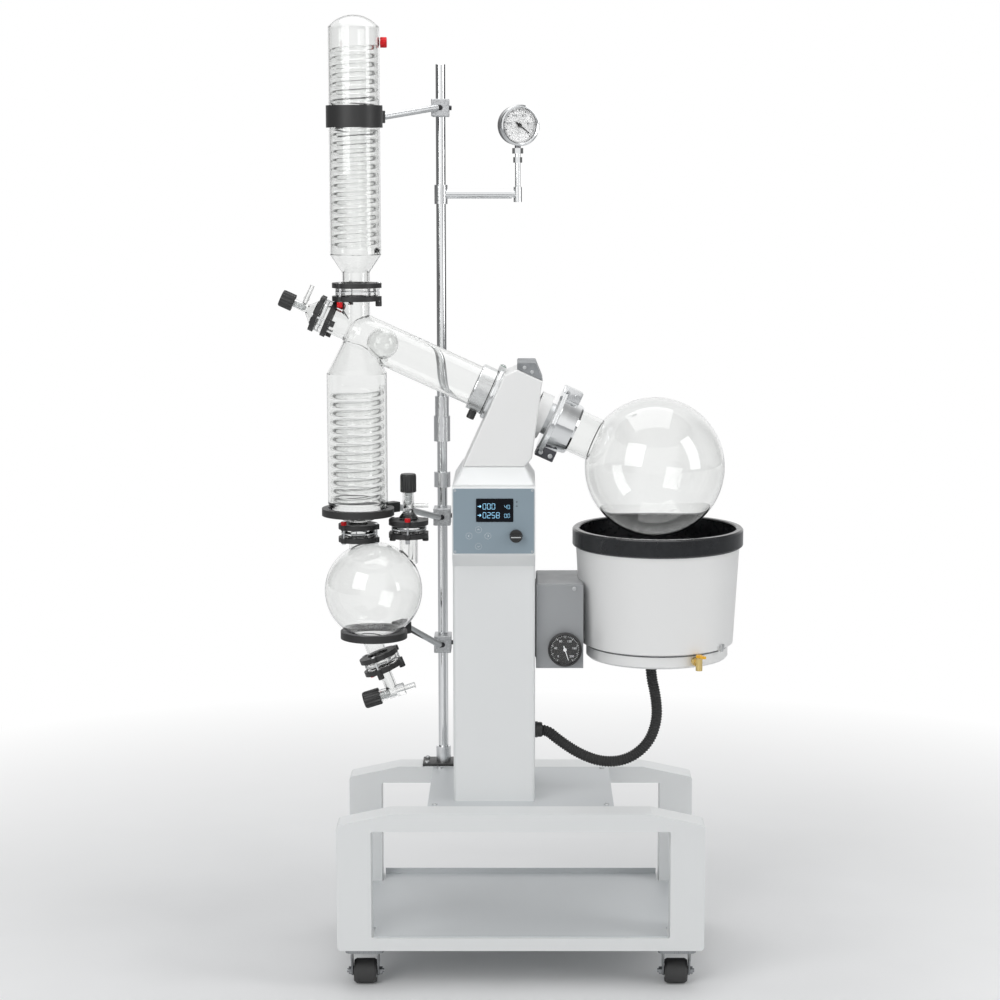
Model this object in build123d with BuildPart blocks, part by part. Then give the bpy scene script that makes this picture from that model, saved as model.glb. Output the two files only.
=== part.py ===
from build123d import *
from math import atan2, cos, degrees, pi, radians, sin, sqrt, tan
import os

# Rotary evaporator of the ten litre class on a wheeled cart.
# Millimetres, +Z up, front faces -Y, origin on the floor under the middle of the object.

# Driving dimensions of the cart
CART_X = 17.0
CART_WIDTH = 708.0
CART_DEPTH = 420.0
FRAME_DEPTH = 60.0
FRAME_BOTTOM = 81.0
FRAME_TOP = 352.0
LEG_WIDTH = 66.0
TOP_BAR = 34.0
BOTTOM_BAR = 25.0
SLOPE_RUN = 103.0
SLOPE_DROP = 22.0
DECK_WIDTH = 362.0
DECK_SHEET = 3.0
DECK_FLANGE = 30.0
SHELF_SHEET = 2.5
SHELF_LIP = 14.0
SHELF_GAP = 4.5

# Casters
CASTER_SPREAD_X = 303.0
CASTER_SPREAD_Y = 170.0
CASTER_TRAIL = 12.0
WHEEL_RADIUS = 24.0
WHEEL_WIDTH = 44.0
AXLE_RADIUS = 4.0
STEM_RADIUS = 8.0
STEM_LENGTH = 24.0
FORK_GAP = 48.0
FORK_SHEET = 3.0
RUNNING_GAP = 0.05

# Column and control housing
COLUMN_X = -34.5
COLUMN_WIDTH = 159.0
COLUMN_DEPTH = 226.0
COLUMN_TOP = 974.0
COLUMN_SHEET = 4.0
HOUSING_OUT = 37.0
HOUSING_BOTTOM = 846.0
PANEL_WIDTH = 154.0
PANEL_HEIGHT = 125.0
PANEL_SHEET = 1.5
SCREEN_WIDTH = 71.0
SCREEN_HEIGHT = 45.0
SCREEN_Z = 932.5
DIAL_X = 8.0
DIAL_Z = 883.0
DIAL_RADIUS = 12.5
DIAL_LENGTH = 19.0
GROOVE_WIDTH = 40.0
GROOVE_DEPTH = 22.0
GROOVE_BOTTOM = 520.0
GROOVE_TOP = 930.0

# Rotation axis of the evaporating flask
TILT = 24.5
FLASK_X = 280.0
FLASK_Z = 996.0
FLASK_RADIUS = 137.0
GLASS_WALL = 3.0
HEAD_FACE = 345.0
HEAD_HALF_DEPTH = 62.0
HEAD_WALL = 6.0
SPINDLE_RADIUS = 32.0
SPINDLE_BORE = 26.0
BEARING_RADIUS = 40.0
DUCT_RADIUS = 40.0
GEAR_TEETH = 46
PINION_TEETH = 24
GEAR_MODULE = 2.0
GEAR_S = 278.0
GEAR_THICK = 14.0

# Glass stack on the left
STACK_X = -303.0
UPPER_RADIUS = 49.5
UPPER_TOP = 1867.0
UPPER_SHOULDER = 1411.0
DOME_RISE = 24.0
BARB_Z = 1815.0
LOWER_RADIUS = 58.5
LOWER_SHOULDER = 1181.0
LOWER_BOTTOM = 912.0
STACK_NECK = 27.0
UPPER_JOINT_Z = 1339.0
LOWER_JOINT_Z = 866.0
RECEIVER_X = -274.0
RECEIVER_Z = 750.0
RECEIVER_RADIUS = 96.0
SIDE_NECK_X = -204.0
VENT_JOINT_Z = 874.0
NECK_RADIUS = 18.0
DRAIN_TILT = 21.0
DRAIN_JOINT_X = -260.7
DRAIN_JOINT_Z = 606.5
FEED_JOINT_S = 711.5
RING_THICK = 9.5
LIP_HALF = 8.0
FEED_NECK = 25.0
FEED_LIP = 31.5
COIL_TUBE = 5.0

# Pole and its clamps
POLE_X = -143.0
POLE_Y = 180.0
POLE_RADIUS = 10.0
POLE_TOP = 1782.0
BOSS_SIZE = 35.0
BOSS_DEPTH = 51.0
BOSS_SHIFT = 10.0
BOSS_HEIGHTS = (1695.0, 874.0, 610.0)
ROD_RADIUS = 5.5
CLAMP_Z = 1675.0
UPPER_RING_Z = 908.0
LOWER_RING_Z = 662.0

# Vacuum gauge
GAUGE_X = 11.0
GAUGE_Z = 1661.0
GAUGE_RADIUS = 40.5
GAUGE_TURN = 20.0
GAUGE_ARM_Z = 1525.0
GAUGE_NEEDLE = -37.0

# Heating bath
BATH_X = 287.0
BATH_RIM_RADIUS = 168.0
BATH_RIM_TOP = 877.0
BATH_RIM_HEIGHT = 34.0
BATH_BODY_TOP = 161.0
BATH_BODY_BOTTOM = 150.0
BATH_FLOOR = 620.0
BATH_SHELL_BOTTOM = 650.0
POT_RADIUS = 154.0
POT_WALL = 3.0
CARRIAGE_LEFT = 47.0
CARRIAGE_RIGHT = 139.0
CARRIAGE_FRONT = -90.0
CARRIAGE_BACK = 70.0
CARRIAGE_BOTTOM = 612.0
CARRIAGE_TOP = 778.0
THERMO_X = 103.0
THERMO_Z = 651.0
THERMO_RADIUS = 33.0
THERMO_NEEDLE = -72.0
TAP_ANGLE = -62.0

# Ribbed conduit from the bath to the column, first point under the bath
CONDUIT_RADIUS = 11.0
CONDUIT_ROUTE = [
    (274.0, -20.0, 620.0),
    (274.0, -20.0, 586.0),
    (285.0, -23.0, 540.0),
    (288.0, -26.0, 495.0),
    (272.0, -30.0, 448.0),
    (232.0, -36.0, 416.0),
    (182.0, -42.0, 411.0),
    (133.0, -44.0, 429.0),
    (89.0, -42.0, 459.0),
    (68.0, -41.0, 478.0),
    (45.0, -41.0, 478.0),
]

HALF_TURN = 180.0
AXIS_OUT = Vector(-cos(radians(TILT)), 0, sin(radians(TILT)))
AXIS_UP = Vector(sin(radians(TILT)), 0, cos(radians(TILT)))
FLASK_CENTRE = Vector(FLASK_X, 0, FLASK_Z)
FACING_FRONT = (0, -1, 0)


def on_axis(along, up=0.0, y=0.0):
    """A point by its distance along the rotation axis from the flask centre and above it."""
    return FLASK_CENTRE + AXIS_OUT * along + AXIS_UP * up + Vector(0, y, 0)


def upright(x, y=0.0):
    """A plane for a turned profile about a vertical axis: X is the radius, Y is the height."""
    return Plane(origin=(x, y, 0), x_dir=(1, 0, 0), z_dir=FACING_FRONT)


def tilted():
    """The same for the rotation axis: X is the radius, Y is the distance from the flask centre."""
    return Plane(origin=FLASK_CENTRE, x_dir=AXIS_UP, z_dir=FACING_FRONT)


def across(direction, origin, start=0.0):
    """A plane square to a direction, moved along it."""
    way = Vector(*direction).normalized() if isinstance(direction, tuple) else direction.normalized()
    side = (1, 0, 0) if abs(way.Y) > 0.9 else (0, 1, 0)
    return Plane(origin=Vector(*origin) + way * start, x_dir=side, z_dir=way)


def turn(frame, points, mode=Mode.ADD):
    """Turn a closed outline of (radius, height) points about the frame's own Y axis."""
    with BuildSketch(frame) as profile:
        with BuildLine():
            Polyline(*points, close=True)
        make_face()
    revolve(profile.sketch, axis=Axis(frame.origin, frame.y_dir), mode=mode)


def tube(frame, outer, inner, low, high, mode=Mode.ADD):
    """A straight ring or tube about the frame's own Y axis."""
    turn(frame, [(inner, low), (outer, low), (outer, high), (inner, high)], mode)


def bar(plane, radius, length, mode=Mode.ADD):
    """A round bar that starts on a plane."""
    with BuildSketch(plane) as section:
        Circle(radius)
    extrude(section.sketch, amount=length, mode=mode)


def brick(low, high, mode=Mode.ADD):
    """A block between two corners."""
    size = [b - a for a, b in zip(low, high)]
    middle = [(a + b) / 2 for a, b in zip(low, high)]
    with Locations(tuple(middle)):
        Box(*size, mode=mode)


def save(part, name):
    """Label a finished piece and write it."""
    part.label = name
    export_step(part, f"parts/{name}.step")


def cart_frame(name, face_y, inward):
    """One welded end frame of the cart, with its sloped upper corners and caster sockets."""
    half = CART_WIDTH / 2
    with BuildPart() as frame:
        with BuildSketch(Plane.XZ.offset(-face_y)):
            with BuildLine():
                Polyline(
                    (CART_X - half, FRAME_BOTTOM),
                    (CART_X + half, FRAME_BOTTOM),
                    (CART_X + half, FRAME_TOP - SLOPE_DROP),
                    (CART_X + half - SLOPE_RUN, FRAME_TOP),
                    (CART_X + SLOPE_RUN - half, FRAME_TOP),
                    (CART_X - half, FRAME_TOP - SLOPE_DROP),
                    close=True,
                )
            make_face()
            opening_height = FRAME_TOP - TOP_BAR - FRAME_BOTTOM - BOTTOM_BAR
            opening_middle = FRAME_BOTTOM + BOTTOM_BAR + opening_height / 2
            with Locations((CART_X, opening_middle)):
                RectangleRounded(CART_WIDTH - 2 * LEG_WIDTH, opening_height, 4, mode=Mode.SUBTRACT)
        extrude(amount=-inward * FRAME_DEPTH)
        fillet(frame.edges().filter_by(Axis.Y).group_by(Axis.X)[0], 8)
        fillet(frame.edges().filter_by(Axis.Y).group_by(Axis.X)[-1], 8)
        socket_y = face_y + inward * (CART_DEPTH / 2 - CASTER_SPREAD_Y)
        for side in (-1, 1):
            socket = Plane((CART_X + side * CASTER_SPREAD_X, socket_y, FRAME_BOTTOM))
            bar(socket, STEM_RADIUS + RUNNING_GAP, STEM_LENGTH + 1, Mode.SUBTRACT)
    save(frame.part, name)


def caster(name, x, y, trail):
    """A swivel fork with its stem and axle, and the wheel that runs on it."""
    crown_low = FRAME_BOTTOM - 9
    axle_y = y + trail
    cheek_x = FORK_GAP / 2
    with BuildPart() as fork:
        with BuildSketch(Plane.XY.offset(crown_low)):
            with Locations((x, y)):
                RectangleRounded(FORK_GAP + 2 * FORK_SHEET + 20, 62, 12)
        extrude(amount=6)
        bar(Plane((x, y, crown_low + 6)), 20, 2.7)
        bar(Plane((x, y, crown_low + 8)), STEM_RADIUS, STEM_LENGTH)
        with BuildSketch(Plane.YZ.offset(x - cheek_x - FORK_SHEET)) as cheek:
            with BuildLine():
                Polyline(
                    (y - 26, crown_low + 1),
                    (y + 26, crown_low + 1),
                    (axle_y + 9, WHEEL_RADIUS - 8),
                    (axle_y - 9, WHEEL_RADIUS - 8),
                    close=True,
                )
            make_face()
            fillet(cheek.vertices().group_by(Axis.Z)[0], 7)
        extrude(amount=FORK_SHEET)
        mirror(extrude(cheek.sketch, amount=FORK_SHEET, mode=Mode.PRIVATE), about=Plane.YZ.offset(x))
        axle_plane = Plane(origin=(x - cheek_x - 12, axle_y, WHEEL_RADIUS), z_dir=(1, 0, 0))
        bar(axle_plane, AXLE_RADIUS, FORK_GAP + 24)
        for start in (x - cheek_x - FORK_SHEET - 6, x + cheek_x + FORK_SHEET):
            with BuildSketch(Plane(origin=(start, axle_y, WHEEL_RADIUS), z_dir=(1, 0, 0))):
                RegularPolygon(radius=8, side_count=6)
            extrude(amount=6)
    save(fork.part, f"caster_fork_{name}")

    hub = Plane(origin=(x, axle_y, WHEEL_RADIUS), x_dir=(0, 0, 1), z_dir=(0, 1, 0))
    half = WHEEL_WIDTH / 2
    with BuildPart() as wheel:
        turn(hub, [
            (AXLE_RADIUS + RUNNING_GAP, -half - 1.5),
            (9, -half - 1.5),
            (9, -half + 3),
            (17, -half + 3),
            (17, -half),
            (WHEEL_RADIUS - 3, -half),
            (WHEEL_RADIUS, -half + 5),
            (WHEEL_RADIUS, half - 5),
            (WHEEL_RADIUS - 3, half),
            (17, half),
            (17, half - 3),
            (9, half - 3),
            (9, half + 1.5),
            (AXLE_RADIUS + RUNNING_GAP, half + 1.5),
        ])
    save(wheel.part, f"caster_wheel_{name}")


def knob(name, origin, direction, radius, length, stem_radius, stem_length, ribs=18):
    """A ribbed knob with its stem pointing back into the valve."""
    way = Vector(*direction).normalized()
    face = across(way, origin)
    with BuildPart() as grip:
        with BuildSketch(face):
            Circle(radius - 0.6)
        extrude(amount=length)
        chamfer(grip.edges().sort_by(Axis(Vector(*origin), way))[-1], 1.5)
        with BuildSketch(face.offset(2)):
            with PolarLocations(radius - 1.1, ribs):
                Circle(1.1)
        extrude(amount=length - 4.5)
        bar(across(way, origin, -stem_length), stem_radius, stem_length + 1)
    save(grip.part, name)


def gear(plane, teeth, bore, thickness, first_tooth=0.0):
    """A straight-cut gear with trapezoid teeth and clearance at the pitch line."""
    pitch = GEAR_MODULE * teeth / 2
    root = pitch - 1.35 * GEAR_MODULE
    tip = pitch + 0.9 * GEAR_MODULE
    half_root = 0.86 * GEAR_MODULE
    half_tip = 0.3 * GEAR_MODULE
    with BuildSketch(plane) as outline:
        Circle(root)
        with PolarLocations(0, teeth, start_angle=first_tooth):
            with BuildLine():
                Polyline(
                    (root - 1, -half_root),
                    (tip, -half_tip),
                    (tip, half_tip),
                    (root - 1, half_root),
                    close=True,
                )
            make_face()
        Circle(bore, mode=Mode.SUBTRACT)
    extrude(outline.sketch, amount=thickness)


def helix_tube(radius, tube_radius, low, high, pitch, centre_x):
    """A coiled glass tube with its two straight ends."""
    path = Helix(pitch=pitch, height=high - low, radius=radius, center=(centre_x, 0, low))
    with BuildPart() as coil:
        with BuildSketch(Plane(origin=path @ 0, z_dir=path % 0)):
            RegularPolygon(radius=tube_radius, side_count=8)
        sweep(path=path, is_frenet=True)
    return coil.part


def cart():
    """The two end frames, the deck under the column and the storage shelf."""
    cart_frame("front_frame", -CART_DEPTH / 2, 1)
    cart_frame("back_frame", CART_DEPTH / 2, -1)
    inner = CART_DEPTH / 2 - FRAME_DEPTH

    with BuildPart() as deck:
        brick(
            (CART_X - DECK_WIDTH / 2, -inner, FRAME_TOP - DECK_FLANGE),
            (CART_X + DECK_WIDTH / 2, inner, FRAME_TOP),
        )
        bottom = deck.faces().sort_by(Axis.Z)[0]
        offset(amount=-DECK_SHEET, openings=bottom)
    save(deck.part, "deck_plate")

    half = CART_WIDTH / 2
    shelf_z = FRAME_BOTTOM + BOTTOM_BAR
    with BuildPart() as shelf:
        brick((CART_X - half + LEG_WIDTH + SHELF_GAP, -CART_DEPTH / 2 + 6, shelf_z),
              (CART_X + half - LEG_WIDTH - SHELF_GAP, CART_DEPTH / 2 - 6, shelf_z + SHELF_SHEET))
        brick((CART_X - half + 6, -inner, shelf_z - SHELF_LIP),
              (CART_X + half - 6, inner, shelf_z + SHELF_SHEET))
        brick((CART_X - half + 6 + SHELF_SHEET, -inner - 1, shelf_z - SHELF_LIP - 1),
              (CART_X + half - 6 - SHELF_SHEET, inner + 1, shelf_z), Mode.SUBTRACT)
        brick((CART_X - half + LEG_WIDTH + SHELF_GAP, CART_DEPTH / 2 - 6 - SHELF_SHEET, shelf_z),
              (CART_X + half - LEG_WIDTH - SHELF_GAP, CART_DEPTH / 2 - 6, shelf_z + SHELF_LIP))
    save(shelf.part, "storage_shelf")

    for end, y_side in (("front", -1), ("back", 1)):
        for hand, x_side in (("left", -1), ("right", 1)):
            caster(f"{end}_{hand}", CART_X + x_side * CASTER_SPREAD_X, y_side * CASTER_SPREAD_Y,
                   CASTER_TRAIL)


def column():
    """The column with its guide groove, cap, control housing, panel, screen and dial."""
    left = COLUMN_X - COLUMN_WIDTH / 2
    right = COLUMN_X + COLUMN_WIDTH / 2
    front = -COLUMN_DEPTH / 2
    with BuildPart() as tower:
        with BuildSketch(Plane.XY.offset(FRAME_TOP)):
            with Locations((COLUMN_X, 0)):
                RectangleRounded(COLUMN_WIDTH, COLUMN_DEPTH, 7)
        extrude(amount=COLUMN_TOP - FRAME_TOP)
        with BuildSketch(Plane.XY.offset(COLUMN_TOP)) as foot:
            with Locations((COLUMN_X, 0)):
                RectangleRounded(COLUMN_WIDTH, COLUMN_DEPTH, 7)
        with BuildSketch(Plane.XY.offset(COLUMN_TOP + 30)):
            with Locations((COLUMN_X, 0)):
                RectangleRounded(COLUMN_WIDTH - 34, 2 * HEAD_HALF_DEPTH + 20, 7)
        loft()
        brick((right - GROOVE_DEPTH, -GROOVE_WIDTH / 2, GROOVE_BOTTOM),
              (right + 1, GROOVE_WIDTH / 2, GROOVE_TOP), Mode.SUBTRACT)
        inner_right = right - GROOVE_DEPTH - COLUMN_SHEET
        inner_y = COLUMN_DEPTH / 2 - COLUMN_SHEET
        ceiling = COLUMN_TOP - COLUMN_SHEET
        brick((left + COLUMN_SHEET, -inner_y, FRAME_TOP - 1), (inner_right, inner_y, ceiling), Mode.SUBTRACT)
        for low, high in ((-inner_y, -GROOVE_WIDTH / 2 - COLUMN_SHEET), (GROOVE_WIDTH / 2 + COLUMN_SHEET, inner_y)):
            brick((inner_right - 1, low, FRAME_TOP - 1), (right - COLUMN_SHEET, high, ceiling), Mode.SUBTRACT)
    save(tower.part, "column")

    face_y = front - HOUSING_OUT
    with BuildPart() as housing:
        with BuildSketch(Plane.YZ.offset(left)):
            with BuildLine():
                Polyline(
                    (front, HOUSING_BOTTOM - 28),
                    (face_y, HOUSING_BOTTOM),
                    (face_y, COLUMN_TOP + 2),
                    (front, COLUMN_TOP + 2),
                    close=True,
                )
            make_face()
        extrude(amount=COLUMN_WIDTH)
        fillet(housing.edges().filter_by(Axis.X).group_by(Axis.Y)[0], 3)
        bar(across((0, 1, 0), (DIAL_X, face_y, DIAL_Z)), 3 + RUNNING_GAP, 16, Mode.SUBTRACT)
    save(housing.part, "control_housing")

    panel_y = face_y - PANEL_SHEET
    with BuildPart() as panel:
        with BuildSketch(Plane.XZ.offset(-face_y)):
            with Locations((COLUMN_X, HOUSING_BOTTOM + 3 + PANEL_HEIGHT / 2)):
                RectangleRounded(PANEL_WIDTH, PANEL_HEIGHT, 3)
            with Locations((DIAL_X, DIAL_Z)):
                Circle(3.5, mode=Mode.SUBTRACT)
        extrude(amount=PANEL_SHEET)
    save(panel.part, "control_panel")

    with BuildPart() as screen:
        with BuildSketch(Plane.XZ.offset(-panel_y)):
            with Locations((COLUMN_X + 2, SCREEN_Z)):
                RectangleRounded(SCREEN_WIDTH, SCREEN_HEIGHT, 1.5)
        extrude(amount=1)
        fillet(screen.faces().sort_by(Axis.Y)[0].edges(), 0.4)
    save(screen.part, "display_window")

    dial_face = panel_y - 0.4
    with BuildPart() as dial:
        frame = Plane(origin=(DIAL_X, 0, DIAL_Z), x_dir=(1, 0, 0), z_dir=(0, 0, 1))
        turn(frame, [
            (0, face_y + 14),
            (3, face_y + 14),
            (3, dial_face),
            (DIAL_RADIUS, dial_face),
            (DIAL_RADIUS, dial_face - 3),
            (DIAL_RADIUS - 1.5, dial_face - DIAL_LENGTH + 1.5),
            (DIAL_RADIUS - 3, dial_face - DIAL_LENGTH),
            (0, dial_face - DIAL_LENGTH),
        ])
        for side in (-1, 1):
            brick((DIAL_X - DIAL_RADIUS - 1, dial_face - DIAL_LENGTH - 1, DIAL_Z + side * 8 - 4.5),
                  (DIAL_X + DIAL_RADIUS + 1, dial_face - 5, DIAL_Z + side * 8 + 4.5), Mode.SUBTRACT)
    save(dial.part, "control_knob")


def head_outline():
    """The head's silhouette: its left face is square to the rotation axis."""
    corner = on_axis(HEAD_FACE, 47.0)
    drop = (corner.Z - COLUMN_TOP - 30) / cos(radians(TILT))
    low = on_axis(HEAD_FACE, 47.0 - drop)
    return [
        (low.X, low.Z),
        (corner.X, corner.Z),
        (10.0, 1193.0),
        (59.0, 1170.5),
        (39.0, 1021.0),
        (25.0, low.Z),
    ]


def head():
    """The head housing with its bearing seats, covers, and the drive inside it."""
    outline = head_outline()
    with BuildPart() as housing:
        with BuildSketch(Plane.XZ.offset(HEAD_HALF_DEPTH)):
            with BuildLine():
                Polyline(*outline, close=True)
            make_face()
        extrude(amount=-2 * HEAD_HALF_DEPTH + 4)
        fillet(housing.edges().filter_by(Axis.Y).group_by(Axis.Z)[-1], 5)
        fillet(housing.faces().sort_by(Axis.Y)[0].edges(), 3)
        with BuildSketch(Plane.XZ.offset(HEAD_HALF_DEPTH - HEAD_WALL)):
            with BuildLine():
                Polyline(*outline, close=True)
            make_face()
            offset(amount=-HEAD_WALL, mode=Mode.REPLACE)
        extrude(amount=-2 * HEAD_HALF_DEPTH, mode=Mode.SUBTRACT)
        bar(across(AXIS_OUT, on_axis(236)), BEARING_RADIUS + 5, 24)
        bar(across(AXIS_OUT, on_axis(HEAD_FACE - 27)), BEARING_RADIUS + 5, 26.5)
        bar(across(AXIS_OUT, on_axis(220)), BEARING_RADIUS, 140, Mode.SUBTRACT)
    save(housing.part, "head_housing")

    with BuildPart() as back_cover:
        with BuildSketch(Plane.XZ.offset(-(HEAD_HALF_DEPTH - 4))):
            with BuildLine():
                Polyline(*outline, close=True)
            make_face()
        extrude(amount=-4)
        fillet(back_cover.edges().filter_by(Axis.Y).group_by(Axis.Z)[-1], 5)
    save(back_cover.part, "head_back_cover")

    with BuildPart() as cap:
        with BuildSketch(Plane.XZ.offset(HEAD_HALF_DEPTH - 4)):
            with BuildLine():
                Polyline((10.0, 1193.6), (10.0, 1205.0), (46.0, 1205.0), (59.5, 1171.2), close=True)
            make_face()
        extrude(amount=-2 * HEAD_HALF_DEPTH + 8)
        fillet(cap.edges().filter_by(Axis.Y).group_by(Axis.Z)[-1], 3)
    save(cap.part, "head_cover")

    axis = tilted()
    with BuildPart() as spindle:
        turn(axis, [
            (SPINDLE_BORE, 205),
            (SPINDLE_RADIUS, 205),
            (SPINDLE_RADIUS, 236),
            (SPINDLE_RADIUS, 358),
            (SPINDLE_BORE, 358),
        ])
    save(spindle.part, "spindle")

    with BuildPart() as bearings:
        for start in (238.0, HEAD_FACE - 25):
            tube(axis, BEARING_RADIUS, SPINDLE_RADIUS + RUNNING_GAP, start, start + 14)
    save(bearings.part, "spindle_bearings")

    with BuildPart() as seal:
        turn(axis, [
            (SPINDLE_RADIUS + RUNNING_GAP, HEAD_FACE - 9),
            (BEARING_RADIUS, HEAD_FACE - 9),
            (BEARING_RADIUS, HEAD_FACE),
            (SPINDLE_RADIUS + 3, HEAD_FACE),
            (SPINDLE_RADIUS + 3, HEAD_FACE - 4),
            (SPINDLE_RADIUS + RUNNING_GAP, HEAD_FACE - 4),
        ])
    save(seal.part, "shaft_seal")

    with BuildPart() as wheel:
        gear(across(AXIS_OUT, on_axis(GEAR_S)), GEAR_TEETH, SPINDLE_RADIUS, GEAR_THICK)
    save(wheel.part, "drive_gear")

    centre_distance = GEAR_MODULE * (GEAR_TEETH + PINION_TEETH) / 2
    with BuildPart() as pinion:
        start = on_axis(GEAR_S, -centre_distance)
        plane = across(AXIS_OUT, start)
        gear(plane, PINION_TEETH, 5, GEAR_THICK, HALF_TURN / PINION_TEETH)
        bar(plane, 5, GEAR_THICK + 12)
    save(pinion.part, "motor_pinion")

    with BuildPart() as motor:
        start = on_axis(GEAR_S + GEAR_THICK + 3, -centre_distance)
        plane = across(AXIS_OUT, start)
        bar(plane, 24, 34)
        bar(plane.offset(34), 18, 7)
        bar(plane, 5 + RUNNING_GAP, 10, Mode.SUBTRACT)
    save(motor.part, "drive_motor")


def rotating_glass():
    """The clamp on the spindle nose and the evaporating flask that it holds."""
    axis = tilted()
    with BuildPart() as clamp:
        turn(axis, [
            (44.0, 176),
            (48.0, 174),
            (50.0, 178),
            (52.5, 200),
            (54.0, 214),
            (66.0, 216),
            (66.0, 224),
            (60.0, 228),
            (SPINDLE_RADIUS, 228),
            (SPINDLE_RADIUS, 207),
            (44.0, 205),
        ])
        for side in (1, -1):
            plane = Plane(origin=on_axis(188, side * 50), x_dir=(0, 1, 0), z_dir=AXIS_OUT)
            with BuildSketch(plane):
                with Locations((0, -side * 10)):
                    RectangleRounded(34, 26, 3)
            extrude(amount=38)
        turn(axis, [(0, 170), (44.0, 170), (44.0, 205), (SPINDLE_RADIUS, 207), (SPINDLE_RADIUS, 240),
                    (0, 240)], Mode.SUBTRACT)
    save(clamp.part, "flask_clamp")

    neck = 42.5
    mouth = 204.5
    with BuildPart() as flask:
        with Locations(FLASK_CENTRE):
            Sphere(FLASK_RADIUS)
        bar(across(AXIS_OUT, on_axis(100)), neck, mouth - 100)
        tube(axis, neck + 1.4, neck - 5, mouth - 3.5, mouth)
        with Locations(FLASK_CENTRE):
            Sphere(FLASK_RADIUS - GLASS_WALL, mode=Mode.SUBTRACT)
        bar(across(AXIS_OUT, on_axis(90)), neck - 5, mouth, Mode.SUBTRACT)
    save(flask.part, "evaporating_flask")


def coupling():
    """The fixed collar that holds the glass duct on the head, and its locking knob."""
    axis = tilted()
    with BuildPart() as collar:
        turn(axis, [
            (SPINDLE_RADIUS + 1, HEAD_FACE),
            (51, HEAD_FACE),
            (51, HEAD_FACE + 9),
            (46.5, HEAD_FACE + 10),
            (46.5, HEAD_FACE + 40),
            (44.5, HEAD_FACE + 41.5),
            (DUCT_RADIUS, HEAD_FACE + 41.5),
            (DUCT_RADIUS, HEAD_FACE + 17),
            (SPINDLE_RADIUS + 1, HEAD_FACE + 17),
        ])
        plane = Plane(origin=on_axis(HEAD_FACE, 48), x_dir=(0, 1, 0), z_dir=AXIS_OUT)
        with BuildSketch(plane):
            RectangleRounded(18, 18, 2)
        extrude(amount=14)
        turn(axis, [(0, HEAD_FACE - 5), (SPINDLE_RADIUS + 1, HEAD_FACE - 5), (SPINDLE_RADIUS + 1, HEAD_FACE + 17),
                    (0, HEAD_FACE + 17)], Mode.SUBTRACT)
        bar(across(AXIS_UP * -1, on_axis(HEAD_FACE + 25, -DUCT_RADIUS + 1)), 3 + RUNNING_GAP, 10, Mode.SUBTRACT)
    save(collar.part, "duct_coupling")
    seat = on_axis(HEAD_FACE + 25, -47.2)
    down = AXIS_UP * -1
    knob("coupling_lock_knob", (seat.X, seat.Y, seat.Z), (down.X, 0, down.Z), 8, 16, 3, 5, 12)


def vessel(frame, outline_start, shoulder_arc, outline_end, mode=Mode.ADD):
    """Turn an outline of straight runs, one arc and straight runs, closed along the axis."""
    with BuildSketch(frame) as profile:
        with BuildLine():
            Polyline(*outline_start)
            ThreePointArc(*shoulder_arc)
            Polyline(*outline_end)
        make_face()
    revolve(profile.sketch, axis=Axis(frame.origin, frame.y_dir), mode=mode)


def domed(frame, outline, radius, rim, rise, mode=Mode.ADD):
    """Turn an outline that starts and ends on the axis and is closed by a spherical dome."""
    dome_radius = (radius ** 2 + rise ** 2) / (2 * rise)
    centre = rim + rise - dome_radius
    start_angle = degrees(atan2(rim - centre, radius))
    with BuildSketch(frame) as profile:
        with BuildLine():
            Polyline(*outline, (radius, rim))
            dome = CenterArc((0, centre), dome_radius, start_angle, 90 - start_angle)
            Line(dome @ 1, outline[0])
        make_face()
    revolve(profile.sketch, axis=Axis(frame.origin, frame.y_dir), mode=mode)


def upper_condenser():
    """The upper condenser jacket, closed by a dome, with its side hose barb."""
    frame = upright(STACK_X)
    lip = UPPER_JOINT_Z
    r = UPPER_RADIUS
    inner = r - GLASS_WALL
    neck = STACK_NECK
    low = UPPER_SHOULDER
    rim = UPPER_TOP - DOME_RISE
    with BuildPart() as jacket:
        domed(frame, [(0, lip), (40, lip), (40, lip + LIP_HALF), (neck, lip + LIP_HALF), (neck, low - 34),
                      (r, low)], r, rim, DOME_RISE)
        barb = across((1, 0, 0), (STACK_X + r - 2, 0, BARB_Z))
        bar(barb, 8, 3.2)
        bar(barb, 5.5, 12)
        domed(frame, [(0, lip - 1), (neck - 4, lip - 1), (neck - 4, low - 33), (inner, low + 1)], inner, rim,
              DOME_RISE - GLASS_WALL, Mode.SUBTRACT)
        bar(barb.offset(-4), 3, 30, Mode.SUBTRACT)
    save(jacket.part, "upper_condenser")

    coil = helix_tube(41, COIL_TUBE, 1412 + 8, 1786, 15.6, STACK_X)
    save(coil, "upper_coil")


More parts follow.
